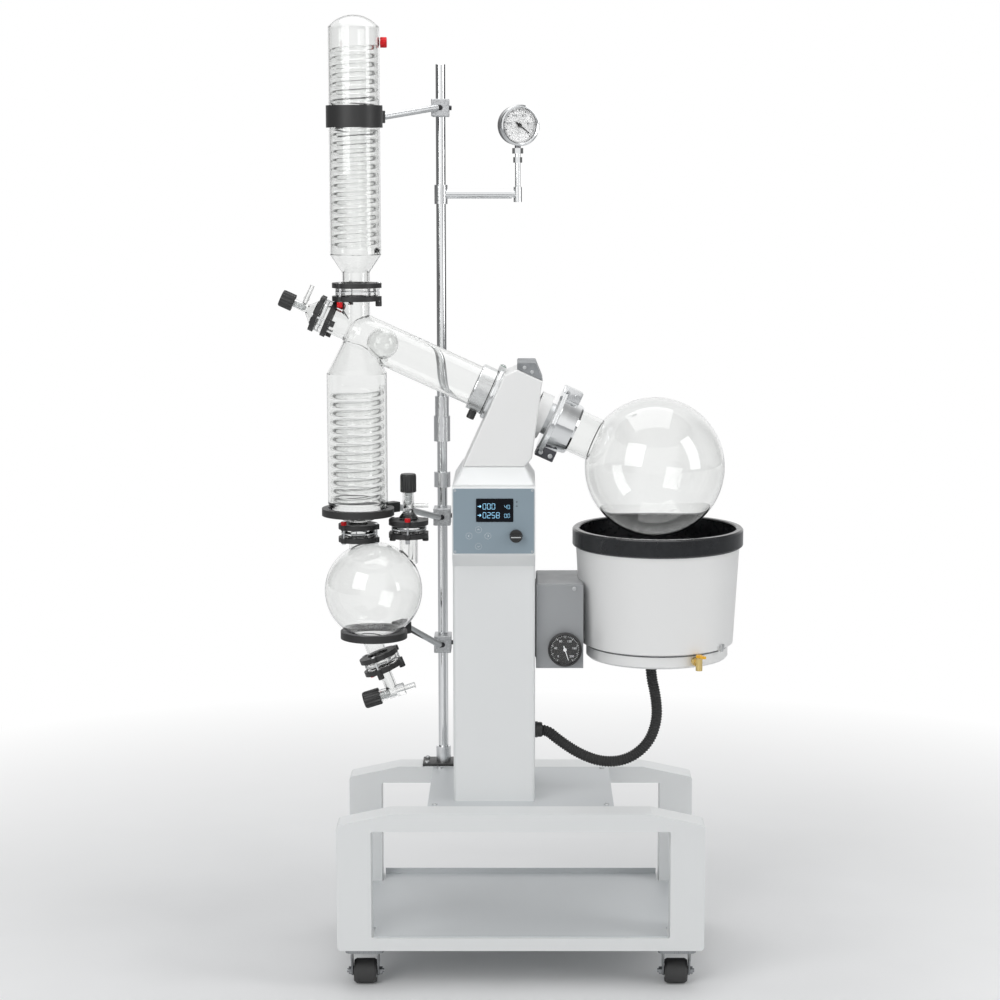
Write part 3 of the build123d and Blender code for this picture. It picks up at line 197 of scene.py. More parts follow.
class Finish:
    """A material under construction, with its shader and short ways to add surface detail."""

    def __init__(self, name, colour, roughness=0.5, metallic=0.0):
        self.material = bpy.data.materials.new(name)
        self.material.use_nodes = True
        self.tree = self.material.node_tree
        self.shader = self.tree.nodes["Principled BSDF"]
        self.set("Base Color", (*colour, 1.0))
        self.set("Roughness", roughness)
        self.set("Metallic", metallic)
        self.place = self.tree.nodes.new("ShaderNodeTexCoord").outputs["Object"]

    def set(self, socket, value):
        """Set one of the shader's own sockets."""
        self.shader.inputs[socket].default_value = value

    def join(self, output, node, socket):
        """Link an output to a node's input."""
        self.tree.links.new(output, node.inputs[socket])

    def grain(self, scale, detail=3.0, stretch=(1.0, 1.0, 1.0)):
        """A noise over the object, from 0 to 1."""
        mapping = shader_node(self.tree, "ShaderNodeMapping", {"Scale": stretch})
        self.join(self.place, mapping, "Vector")
        noise = shader_node(self.tree, "ShaderNodeTexNoise", {"Scale": scale, "Detail": detail})
        self.join(mapping.outputs["Vector"], noise, "Vector")
        return noise.outputs["Fac"]

    def between(self, source, low, high):
        """Spread the middle of a noise over a range of values."""
        ramp = shader_node(self.tree, "ShaderNodeMapRange",
                           {"From Min": 0.3, "From Max": 0.7, "To Min": low, "To Max": high})
        self.join(source, ramp, "Value")
        return ramp.outputs["Result"]

    def mix(self, factor, dark, light, socket):
        """Mix two colours by a factor into one of the shader's sockets."""
        ends = {"A": (*dark, 1.0), "B": (*light, 1.0)}
        both = shader_node(self.tree, "ShaderNodeMix", ends, data_type="RGBA")
        self.join(factor, both, "Factor")
        self.join(both.outputs["Result"], self.shader, socket)

    def shade(self, source, dark, light):
        """Mix two colours by a noise into the base colour."""
        self.mix(self.between(source, 0.0, 1.0), dark, light, "Base Color")

    def rough(self, source, low, high):
        """Let a noise vary the roughness."""
        self.join(self.between(source, low, high), self.shader, "Roughness")

    def relief(self, source, strength, distance):
        """Let a noise raise and lower the surface."""
        bump = shader_node(self.tree, "ShaderNodeBump", {"Strength": strength, "Distance": distance})
        self.join(source, bump, "Height")
        self.join(bump.outputs["Normal"], self.shader, "Normal")


def dimmed(colour, factor):
    """A colour made darker or lighter."""
    return tuple(min(1.0, value * factor) for value in colour)


def powder_coat(name, colour, roughness=0.42, orange_peel=0.12, shine=0.5):
    """Satin powder coat with a fine orange peel and a little cloudiness."""
    finish = Finish(name, colour, roughness)
    finish.set("Specular IOR Level", shine)
    finish.shade(finish.grain(6.0, 4.0), dimmed(colour, 0.965), dimmed(colour, 1.02))
    finish.rough(finish.grain(35.0, 3.0), roughness - 0.06, roughness + 0.07)
    finish.relief(finish.grain(900.0, 2.0), orange_peel, 0.0002)
    return finish.material


def moulded_plastic(name, colour, roughness=0.36, shine=0.2):
    """Moulded plastic with a fine spark-eroded grain."""
    finish = Finish(name, colour, roughness)
    finish.set("Specular IOR Level", shine)
    finish.shade(finish.grain(40.0, 3.0), dimmed(colour, 0.8), dimmed(colour, 1.25))
    finish.rough(finish.grain(120.0, 3.0), roughness - 0.07, roughness + 0.08)
    finish.relief(finish.grain(1600.0, 2.0), 0.15, 0.0002)
    return finish.material


def polished_metal(name, colour=(0.78, 0.79, 0.8), roughness=0.09):
    """Chrome or polished steel with faint wipe marks."""
    finish = Finish(name, colour, roughness, 1.0)
    finish.shade(finish.grain(25.0, 4.0), dimmed(colour, 0.94), dimmed(colour, 1.03))
    finish.rough(finish.grain(30.0, 4.0, (1.0, 1.0, 0.15)), roughness * 0.7, roughness * 1.5)
    finish.relief(finish.grain(40.0, 2.0), 0.01, 0.0002)
    return finish.material


def brushed_metal(name, colour=(0.6, 0.61, 0.62), roughness=0.3, stretch=(1.0, 1.0, 0.04)):
    """Brushed steel: fine lines that run one way."""
    finish = Finish(name, colour, roughness, 1.0)
    lines = finish.grain(700.0, 5.0, stretch)
    finish.shade(lines, dimmed(colour, 0.86), dimmed(colour, 1.08))
    finish.rough(lines, roughness - 0.08, roughness + 0.12)
    finish.relief(lines, 0.12, 0.0002)
    return finish.material


def cast_metal(name, colour=(0.55, 0.56, 0.57), roughness=0.42):
    """Bead-blasted cast aluminium with a speckle."""
    finish = Finish(name, colour, roughness, 0.85)
    speckle = finish.grain(420.0, 4.0)
    finish.shade(speckle, dimmed(colour, 0.72), dimmed(colour, 1.2))
    finish.rough(finish.grain(200.0, 3.0), roughness - 0.08, roughness + 0.1)
    finish.relief(speckle, 0.3, 0.0003)
    return finish.material


def clear_glass(name, tint, ior=1.47, wave=0.03):
    """Blown borosilicate glass: clear, with a slight waviness and a trace of dust in its roughness."""
    finish = Finish(name, tint, 0.0)
    finish.set("Transmission Weight", 1.0)
    finish.set("IOR", ior)
    finish.rough(finish.grain(20.0, 4.0), 0.0, 0.02)
    finish.relief(finish.grain(14.0, 2.0, (1.0, 1.0, 0.35)), wave, 0.004)
    return finish.material


def lit_segments(name, tint):
    """Glowing display segments with a slight unevenness."""
    finish = Finish(name, tint, 0.4)
    finish.set("Emission Strength", 0.75)
    glow = finish.grain(800.0, 2.0)
    finish.shade(glow, dimmed(tint, 0.7), tint)
    finish.mix(glow, dimmed(tint, 0.75), tint, "Emission Color")
    return finish.material


def recipes():
    """How each finish is made: its maker, then the maker's values in their order after the name."""
    tone = colours()
    return {
        "cart_paint": (powder_coat, tone.cart),
        "shelf_paint": (powder_coat, tone.shelf, 0.5),
        "white_paint": (powder_coat, tone.white, 0.34, 0.08),
        "carriage_paint": (powder_coat, tone.carriage),
        "black_paint": (powder_coat, tone.black, 0.26, 0.15, 0.22),
        "panel_film": (powder_coat, tone.panel, 0.38, 0.05),
        "motor_paint": (powder_coat, (0.05, 0.055, 0.06)),
        "tab_paint": (powder_coat, (0.33, 0.4, 0.36)),
        "black_plastic": (moulded_plastic, tone.black),
        "red_plastic": (moulded_plastic, tone.cap, 0.3),
        "tap_yellow": (moulded_plastic, tone.tap),
        "cover_plastic": (moulded_plastic, (0.3, 0.31, 0.32), 0.5),
        "conduit_plastic": (moulded_plastic, (0.014, 0.014, 0.015), 0.42),
        "wheel_plastic": (moulded_plastic, (0.015, 0.015, 0.016), 0.4),
        "rim_black": (moulded_plastic, (0.014, 0.015, 0.017), 0.16, 0.5),
        "pot_coating": (moulded_plastic, (0.02, 0.021, 0.023), 0.3),
        "display_glass": (moulded_plastic, (0.004, 0.005, 0.008), 0.12),
        "dark_rubber": (moulded_plastic, (0.02, 0.02, 0.02), 0.62),
        "liner_rubber": (moulded_plastic, (0.3, 0.3, 0.31), 0.6),
        "seam_grey": (moulded_plastic, (0.16, 0.165, 0.17), 0.6),
        "dial_white": (moulded_plastic, (0.8, 0.81, 0.81), 0.5),
        "white_print": (moulded_plastic, (0.78, 0.8, 0.81), 0.5),
        "print_grey": (moulded_plastic, (0.05, 0.06, 0.07), 0.5),
        "chrome": (polished_metal,),
        "satin_chrome": (polished_metal, (0.8, 0.81, 0.82), 0.24),
        "steel": (brushed_metal,),
        "fork_steel": (brushed_metal, (0.32, 0.33, 0.34)),
        "gauge_case": (brushed_metal, (0.22, 0.22, 0.23), 0.25),
        # Painted shade and painted light: the clamp's one chrome as a dark copy for the block below the axis
        # and a bright copy for the block above
        "clamp_dark": (brushed_metal, (0.1, 0.1, 0.11), 0.35),
        "clamp_bright": (brushed_metal, (0.72, 0.73, 0.74), 0.22),
        "coupling_satin": (brushed_metal, (0.7, 0.71, 0.71), 0.28, (0.1, 1.0, 0.1)),
        "screw_black": (brushed_metal, (0.06, 0.06, 0.065)),
        "gear_brass": (brushed_metal, (0.72, 0.52, 0.22)),
        "tap_brass": (brushed_metal, (0.75, 0.48, 0.12)),
        "blasted_aluminium": (cast_metal,),
        "glass": (clear_glass, tone.glass),
        "coil_glass": (clear_glass, tone.glass, 1.45, 0.0),
        "lens_glass": (clear_glass, (1.0, 1.0, 1.0), 1.12, 0.0),
        "display_light": (lit_segments, tone.digits),
    }


def finish_named(name):
    """A finish by its name, made the first time that it is asked for."""
    found = bpy.data.materials.get(name)
    if found:
        return found
    maker, *values = recipes()[name]
    return maker(name, *values)


def dress(finish, *nodes):
    """Give CAD nodes a finish by its name."""
    for name in nodes:
        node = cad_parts[name]
        node.data.materials.clear()
        node.data.materials.append(finish_named(finish))
        for polygon in node.data.polygons:
            polygon.material_index = 0


def seat(origin, way, side=None):
    """A placing matrix at an origin with its Z along a direction."""
    z = way.normalized()
    if side is None:
        side = RIGHT if abs(z.x) < 0.9 else BACK
    y = z.cross(side).normalized()
    x = y.cross(z)
    turn = Matrix((x, y, z)).transposed().to_4x4()
    return Matrix.Translation(origin) @ turn


def placed(name, data):
    """A new object in the scene with its data."""
    item = bpy.data.objects.new(name, data)
    bpy.context.scene.collection.objects.link(item)
    return item


def piece(name, bm, finish, body="base", slot=None, smooth=True):
    """Turn a mesh into a named object that rides on a body, with its finish in its one material slot; the
    slot value is not used.
    """
    bmesh.ops.recalc_face_normals(bm, faces=bm.faces)
    mesh = bpy.data.meshes.new(name)
    bm.to_mesh(mesh)
    bm.free()
    mesh.materials.append(finish_named(finish))
    item = placed(name, mesh)
    if smooth:
        mesh.polygons.foreach_set("use_smooth", [True] * len(mesh.polygons))
        mesh.set_sharp_from_angle(angle=SHARP_ANGLE)
    if body:
        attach(item, body)
    slot = slot or finish
    return item


def single(name, finish, body, slot, make, *values):
    """A piece of one form: the function that makes it, then that function's values."""
    bm = bmesh.new()
    make(bm, *values)
    return piece(name, bm, finish, body, slot)


def turned(bm, place, profile, segments=48):
    """Spin a profile of (radius, height) points a full turn about the placing matrix's Z."""
    rim = [bm.verts.new(place @ Vector((radius, 0.0, height))) for radius, height in profile]
    edges = [bm.edges.new(pair) for pair in zip(rim, rim[1:])]
    bmesh.ops.spin(bm, geom=rim + edges, cent=place.translation, axis=place.to_3x3() @ UPWARD,
                   angle=math.tau, steps=segments, use_merge=True)
    bmesh.ops.remove_doubles(bm, verts=bm.verts, dist=1e-6)


def lathe_closed(bm, place, profile, segments=48):
    """The same with the profile joined end to end, for a ring."""
    turned(bm, place, list(profile) + [profile[0]], segments)


def flat_ring(bm, place, inner, outer, low, high, segments=72):
    """A ring with a rectangular section, from one height to another."""
    lathe_closed(bm, place, [(inner, low), (outer, low), (outer, high), (inner, high)], segments)


def disc(bm, place, radius, thickness):
    """A solid disc that stands on the placing matrix."""
    turned(bm, place, [(0.0, 0.0), (radius, 0.0), (radius, thickness), (0.0, thickness)])


def soften(bm, made, offset, segments):
    """Round or chamfer every edge of a form just made."""
    edges = list(dict.fromkeys(edge for vert in made["verts"] for edge in vert.link_edges))
    bmesh.ops.bevel(bm, geom=edges, offset=offset, segments=segments, profile=0.5, affect="EDGES",
                    material=-1)


def block(bm, place, size, bevel=0.0):
    """A block with rounded edges, centred on the placing matrix."""
    made = bmesh.ops.create_cube(bm, size=1.0, matrix=place @ Matrix.Diagonal((*size, 1.0)))
    if bevel > 0.0:
        soften(bm, made, bevel, 2)


def cap_screw(bm, place, radius, height):
    """A cap screw's head with a rounded rim and a hexagon socket."""
    rim = radius * 0.16
    turned(bm, place, [
        (radius, -0.0004),
        (radius, height - rim),
        (radius - rim * 0.4, height - rim * 0.3),
        (radius - rim, height),
        (radius * 0.56, height),
    ], 24)
    bmesh.ops.create_cone(bm, cap_ends=False, segments=6, radius1=radius * 0.52, radius2=radius * 0.52,
                          depth=height * 0.7, matrix=place @ Matrix.Translation((0, 0, height * 0.65)))
    turned(bm, place, [(radius * 0.56, height), (radius * 0.5, height - rim * 0.4)], 24)
    bmesh.ops.create_circle(bm, cap_ends=True, segments=6, radius=radius * 0.53,
                            matrix=place @ Matrix.Translation((0, 0, height * 0.35)))


def screws(name, places, radius, height, body="base"):
    """Steel cap screws of one size as one piece."""
    bm = bmesh.new()
    for place in places:
        cap_screw(bm, place, radius, height)
    piece(name, bm, "steel", body)


def hex_nut(bm, place, radius, height):
    """A hexagon nut with chamfered corners."""
    made = bmesh.ops.create_cone(bm, cap_ends=True, segments=6, radius1=radius, radius2=radius, depth=height,
                                 matrix=place @ Matrix.Translation((0, 0, height / 2)))
    soften(bm, made, radius * 0.08, 1)


def skin(bm, rings):
    """The faces between the rings of a form and over its two ends."""
    for low, high in zip(rings, rings[1:]):
        for step, corner in enumerate(low):
            following = (step + 1) % len(low)
            bm.faces.new((corner, low[following], high[following], high[step]))
    bm.faces.new(rings[-1])
    bm.faces.new(rings[0][::-1])


def ribbed_grip(bm, place, radius, length, ribs, depth):
    """A knob's ribbed grip with a rounded end."""
    rings = []
    levels = ((0.0, 0.94), (0.03, 1.0), (0.86, 1.0), (0.95, 0.965), (1.0, 0.88))
    steps = ribs * 4
    for height, width in levels:
        ring = []
        for step in range(steps):
            angle = math.tau * step / steps
            rib = 0.0 if step % 4 < 2 or height > 0.9 else depth
            reach = (radius - rib) * width
            ring.append(bm.verts.new(place @ Vector((reach * math.cos(angle), reach * math.sin(angle),
                                                     height * length))))
        rings.append(ring)
    skin(bm, rings)


def curve_mesh(curve):
    """The mesh of a curve or a text, with the curve taken away again."""
    item = placed(curve.name, curve)
    bpy.context.view_layer.update()
    graph = bpy.context.evaluated_depsgraph_get()
    mesh = bpy.data.meshes.new_from_object(item.evaluated_get(graph))
    bpy.data.objects.remove(item)
    bpy.data.curves.remove(curve)
    return mesh


def lettering(bm, text, place):
    """Numerals as flat raised characters, centred on the placing matrix."""
    curve = bpy.data.curves.new("numeral", "FONT")
    curve.body = text
    curve.size = NUMERAL_HEIGHT * FONT_SHARE
    curve.extrude = 0.00012
    curve.align_x = "CENTER"
    curve.align_y = "CENTER"
    curve.resolution_u = 3
    mesh = curve_mesh(curve)
    mesh.transform(place)
    bm.from_mesh(mesh)
    bpy.data.meshes.remove(mesh)


# Lit bars of the digits on the display, by letter from the top bar clockwise, with the middle bar as g
SEGMENTS = {
    "0": "abcdef",
    "2": "abged",
    "4": "fgbc",
    "5": "afgcd",
    "8": "abcdefg",
}


def digit(bm, place, width, height, value):
    """One seven-segment digit as slim raised bars."""
    bar = width * 0.13
    half_w = width / 2
    half_h = height / 2
    flat = (width - bar, bar)
    tall = (bar, half_h - bar)
    spots = {
        "a": (0, half_h, flat), "g": (0, 0, flat), "d": (0, -half_h, flat),
        "b": (half_w, half_h / 2, tall), "c": (half_w, -half_h / 2, tall),
        "f": (-half_w, half_h / 2, tall), "e": (-half_w, -half_h / 2, tall),
    }
    for key in SEGMENTS[value]:
        x, y, bar_size = spots[key]
        block(bm, place @ Matrix.Translation((x, y, 0.0)), (*bar_size, 0.0003))


class StageOperator(bpy.types.Operator):
    """Make the pale floor, the soft studio lights, the camera and the background"""

    bl_idname = "evaporator.stage"
    bl_label = "Stage, lights and camera"

    def execute(self, context):
        scene = context.scene
        scene.view_settings.view_transform = "Standard"
        bm = bmesh.new()
        bmesh.ops.create_circle(bm, cap_ends=True, segments=96, radius=14.0)
        mesh = bpy.data.meshes.new("studio_floor")
        bm.to_mesh(mesh)
        bm.free()
        floor = placed("studio_floor", mesh)
        mesh.materials.append(floor_finish())

        for name, spot, target, width, height, share in SOFTBOXES:
            data = bpy.data.lights.new(name, "AREA")
            data.shape = "RECTANGLE"
            data.size = width
            data.size_y = height
            data.energy = sizes().key_power * share
            lamp = placed(name, data)
            lamp.location = spot
            lamp.rotation_euler = (Vector(target) - Vector(spot)).to_track_quat("-Z", "Y").to_euler()
        world_light(scene)

        data = bpy.data.cameras.new("camera")
        data.lens = sizes().camera_lens
        data.sensor_width = 36.0
        data.shift_x = CAMERA_SHIFT
        data.clip_end = 60.0
        camera = placed("camera", data)
        camera.location = CAMERA_SPOT
        camera.rotation_euler = CAMERA_TURN
        scene.camera = camera
        return {"FINISHED"}


def floor_finish():
    """A pale studio floor that keeps the shadow near the object and fades to white away from it."""
    finish = Finish("studio_floor", (0.86, 0.86, 0.86), 0.7)
    finish.shade(finish.grain(3.0, 2.0), (0.85, 0.85, 0.85), (0.88, 0.88, 0.88))
    tree = finish.tree
    white = shader_node(tree, "ShaderNodeEmission", {"Color": WHITE})
    reach = shader_node(tree, "ShaderNodeVectorMath", operation="LENGTH")
    fade = shader_node(tree, "ShaderNodeMapRange", {"From Min": 0.7, "From Max": 2.4})
    path = shader_node(tree, "ShaderNodeLightPath")
    seen = shader_node(tree, "ShaderNodeMath", operation="MAXIMUM")
    factor = shader_node(tree, "ShaderNodeMath", operation="MULTIPLY")
    mix = shader_node(tree, "ShaderNodeMixShader")
    finish.join(finish.place, reach, "Vector")
    link_all(tree, (
        (reach, "Value", fade, "Value"),
        (path, "Is Camera Ray", seen, 0),
        (path, "Is Transmission Ray", seen, 1),
        (fade, "Result", factor, 0),
        (seen, "Value", factor, 1),
        (factor, "Value", mix, "Fac"),
        (finish.shader, "BSDF", mix, 1),
        (white, "Emission", mix, 2),
        (mix, "Shader", tree.nodes["Material Output"], "Surface"),
    ))
    return finish.material


def world_light(scene):
    """A soft even sky for the light, and white behind the object for the camera, metal and glass.

    Glass and metal also show two grey sides, alike on the left and the right, which draw their edges.
    """
    world = bpy.data.worlds.new("studio")
    scene.world = world
    world.use_nodes = True
    tree = world.node_tree
    soft = tree.nodes["Background"]
    soft.inputs["Color"].default_value = (0.93, 0.95, 0.97, 1.0)
    soft.inputs["Strength"].default_value = 0.42
    white = shader_node(tree, "ShaderNodeBackground", {"Color": WHITE})
    path = shader_node(tree, "ShaderNodeLightPath")
    place = shader_node(tree, "ShaderNodeTexCoord")
    split = shader_node(tree, "ShaderNodeSeparateXYZ")
    across = shader_node(tree, "ShaderNodeMath", operation="ABSOLUTE")
    sides = shader_node(tree, "ShaderNodeMapRange",
                        {"From Min": 0.42, "From Max": 0.72, "To Min": 1.0, "To Max": 0.16},
                        interpolation_type="SMOOTHSTEP")
    banded = shader_node(tree, "ShaderNodeBackground", {"Color": WHITE})
    seen = shader_node(tree, "ShaderNodeMath", operation="MAXIMUM")
    mix = shader_node(tree, "ShaderNodeMixShader")
    last = shader_node(tree, "ShaderNodeMixShader")
    link_all(tree, (
        (place, "Generated", split, "Vector"),
        (split, "X", across, 0),
        (across, "Value", sides, "Value"),
        (sides, "Result", banded, "Strength"),
        (path, "Is Glossy Ray", seen, 0),
        (path, "Is Transmission Ray", seen, 1),
        (seen, "Value", mix, "Fac"),
        (soft, "Background", mix, 1),
        (banded, "Background", mix, 2),
        (path, "Is Camera Ray", last, "Fac"),
        (mix, "Shader", last, 1),
        (white, "Background", last, 2),
        (last, "Shader", tree.nodes["World Output"], "Surface"),
    ))


def route_points(points, resolution=24):
    """The points of the smooth NURBS line through a route."""
    curve = bpy.data.curves.new("route", "CURVE")
    curve.dimensions = "3D"
    spline = curve.splines.new("NURBS")
    spline.points.add(len(points) - 1)
    for target, point in zip(spline.points, points):
        target.co = (*point, 1.0)
    spline.order_u = 3
    spline.use_endpoint_u = True
    spline.resolution_u = resolution
    mesh = curve_mesh(curve)
    line = [vertex.co.copy() for vertex in mesh.vertices]
    bpy.data.meshes.remove(mesh)
    return line


def even_steps(line, pitch):
    """Points at an even pitch along a dense line."""
    found = [line[0]]
    gone = 0.0
    for before, after in zip(line, line[1:]):
        run = (after - before).length
        while gone + run >= pitch:
            share = (pitch - gone) / run
            before = before.lerp(after, share)
            run = (after - before).length
            found.append(before)
            gone = 0.0
        gone += run
    return found


def sleeve(bm, line, radii, sides):
    """A tube along a line with a radius for each point, its ends closed."""
    side = Vector((0.0, 1.0, 0.0))
    rings = []
    last = len(line) - 1
    for index, point in enumerate(line):
        way = (line[min(index + 1, last)] - line[max(index - 1, 0)]).normalized()
        side = (side - way * side.dot(way)).normalized()
        other = way.cross(side)
        ring = []
        for step in range(sides):
            angle = math.tau * step / sides
            offset = side * math.cos(angle) + other * math.sin(angle)
            ring.append(bm.verts.new(point + offset * radii[index]))
        rings.append(ring)
    skin(bm, rings)


class ConduitOperator(bpy.types.Operator):
    """Make the ribbed conduit from the bath to the column with its two glands"""

    bl_idname = "evaporator.conduit"
    bl_label = "Ribbed conduit"

    def execute(self, context):
        line = route_points(CONDUIT_ROUTE)
        rib = sizes().rib_pitch
        steps = even_steps(line, rib / 4)
        heights = (0.011, 0.011, 0.0096, 0.0096)
        radii = [heights[index % 4] for index in range(len(steps))]
        bm = bmesh.new()
        sleeve(bm, steps, radii, 24)
        hose = piece("conduit_hose", bm, "conduit_plastic", None)
        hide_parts("bath_conduit")
        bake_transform(hose)

        collar = [(0.0113, 0.004), (0.0148, 0.004), (0.0148, 0.012), (0.0136, 0.0145), (0.0113, 0.0145)]
        for name, place, body in (
                ("conduit_gland_column", seat((0.0452, -0.041, 0.478), RIGHT), "base"),
                ("conduit_gland_bath", seat((0.274, -0.02, 0.6198), DOWNWARD), "bath")):
            bm = bmesh.new()
            hex_nut(bm, place, 0.0168, 0.006)
            lathe_closed(bm, place, collar, 36)
            piece(name, bm, "black_plastic", body)
        return {"FINISHED"}


def coil_line(radius, low, high, turns, per_turn=28):
    """The line of a coil on the stack's axis, which starts and ends on its right side."""
    count = turns * per_turn
    line = []
    for step in range(count + 1):
        angle = math.tau * step / per_turn
        line.append(Vector((STACK_X + radius * math.cos(angle), radius * math.sin(angle),
                            low + (high - low) * step / count)))
    return line


def bend(start, middle, end, steps=8):
    """The points of a smooth bend after its start."""
    points = []
    for step in range(1, steps + 1):
        share = step / steps
        points.append(start.lerp(middle, share).lerp(middle.lerp(end, share), share))
    return points


class CoilOperator(bpy.types.Operator):
    """Make the coiled glass tubes inside the two condensers"""

    bl_idname = "evaporator.coils"
    bl_label = "Condenser coils"

    def execute(self, context):
        for name, node, radius, tube, low, high, turns, wall, rise in (
                ("upper_coil_tube", "upper_coil", 0.041, 0.0049, 1.42, 1.806, 24, 0.0468, 0.01),
                ("lower_coil_tube", "lower_coil", 0.048, 0.0054, 0.924, 1.144, 13, 0.0557, 0.024)):
            line = coil_line(radius, low, high, turns)
            top = line[-1]
            side = Vector((0.0, 0.016, 0.0))
            line += bend(top, top + side, top + side + UPWARD * (rise * 0.5) + RIGHT * 0.001)
            foot = line[0]
            start = bend(foot, foot - side, foot - side - UPWARD * 0.008 + RIGHT * (wall - radius - tube))
            line = start[::-1] + line
            bm = bmesh.new()
            sleeve(bm, line, [tube] * len(line), sizes().coil_sides)
            item = piece(name, bm, "coil_glass", "base", "clear_glass")
            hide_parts(node)
        return {"FINISHED"}


class GlassOperator(bpy.types.Operator):
    """Finish the blown glass: flasks, condensers, duct and valve bodies"""

    bl_idname = "evaporator.glass"
    bl_label = "Glassware"

    def execute(self, context):
        dress("glass", "evaporating_flask", "lower_condenser", "upper_condenser", "receiving_flask",
              "splash_ball", "valve_bodies")
        place = seat((STACK_X + 0.0512, 0.0, 1.815), RIGHT)
        single("barb_cap", "red_plastic", "base", "black_plastic", ribbed_grip, place, 0.0102, 0.0125, 14,
               0.0008)
        return {"FINISHED"}


def rod_spots(middle, way, radius, first_deg):
    """The three rod centres of a flange joint on its middle plane."""
    side = RIGHT if way.z > 0.99 else BACK
    other = way.cross(side)
    spots = []
    for step in range(3):
        angle = math.radians(first_deg + 120 * step)
        spots.append(middle + (side * math.cos(angle) + other * math.sin(angle)) * radius)
    return spots


class JointOperator(bpy.types.Operator):
    """Finish the flange joints: rings, rods, knurled nuts, red caps and sealing rings"""

    bl_idname = "evaporator.joints"
    bl_label = "Flange joints"

    def execute(self, context):
        dress("black_paint", "flange_rings")
        dress("chrome", "flange_bolts")
        caps = bmesh.new()
        nuts = bmesh.new()
        seals = bmesh.new()
        reach = LIP_HALF + RING_THICK + 0.0003
        for middle, way, radius, lip, nutted, first, far in JOINTS:
            for index, spot in enumerate(rod_spots(middle, way, radius, first)):
                near_seat = seat(spot - way * reach, way * -1)
                if index == 0 and far:
                    ribbed_grip(caps, seat(spot + way * reach, way), 0.0056, 0.0075, 8, 0.0006)
                elif index == 0:
                    ribbed_grip(caps, near_seat, 0.0056, 0.0105, 8, 0.0006)
                elif nutted:
                    ribbed_grip(nuts, near_seat, 0.0062, 0.0098, 10, 0.0007)
            flat_ring(seals, seat(middle, way), lip - 0.003, lip + 0.0006, -0.0006, 0.0006, 64)
        piece("joint_caps", caps, "red_plastic", "base", "black_plastic")
        piece("joint_nuts", nuts, "black_plastic")
        piece("joint_seals", seals, "white_print", "base", "black_rubber")
        return {"FINISHED"}


class ValveOperator(bpy.types.Operator):
    """Make the ribbed grips of the three valve knobs and of the coupling's lock knob"""

    bl_idname = "evaporator.valves"
    bl_label = "Valve knobs"

    def execute(self, context):
        feed_knob = seat(on_axis(FEED_S + 0.0624), OUT)
        vent_knob = seat((-0.204, 0.0, 0.9464), UPWARD)
        drain_knob = seat(DRAIN_JOINT + DRAIN_WAY * 0.066 - DRAIN_SIDE * 0.0264, DRAIN_SIDE * -1)
        lock_knob = seat(on_axis(0.37, -0.0472), UP * -1)
        # Place, then the grip's radius, length and ribs and the stem's radius and depth
        knobs = (
            ("feed_valve_knob", "feed_knob", feed_knob, 0.0169, 0.027, 14, 0.00595, 0.026),
            ("vent_valve_knob", "vent_knob", vent_knob, 0.0158, 0.036, 14, 0.00695, 0.026),
            ("drain_valve_knob", "drain_knob", drain_knob, 0.0169, 0.034, 14, 0.00695, 0.02),
            ("coupling_lock_knob", "lock_knob", lock_knob, 0.008, 0.016, 12, 0.00295, 0.005),
        )
        for node, body, place, radius, length, ribs, stem, depth in knobs:
            grip = single(node + "_grip", "black_plastic", body, "valve_knob_plastic", ribbed_grip, place,
                          radius, length, ribs, radius * 0.09)
            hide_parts(node)
            profile = [(0.0, -depth), (stem * 0.6, -depth)]
            for step in range(4):
                low = -depth + 0.15 * depth + step * 0.2 * depth
                profile += [(stem * 0.82, low), (stem, low + 0.05 * depth), (stem, low + 0.12 * depth)]
            profile += [(stem, 0.0005), (0.0, 0.0005)]
            single(node + "_stem", "white_print", body, "valve_knob_plastic", turned, place, profile, 32)
        return {"FINISHED"}


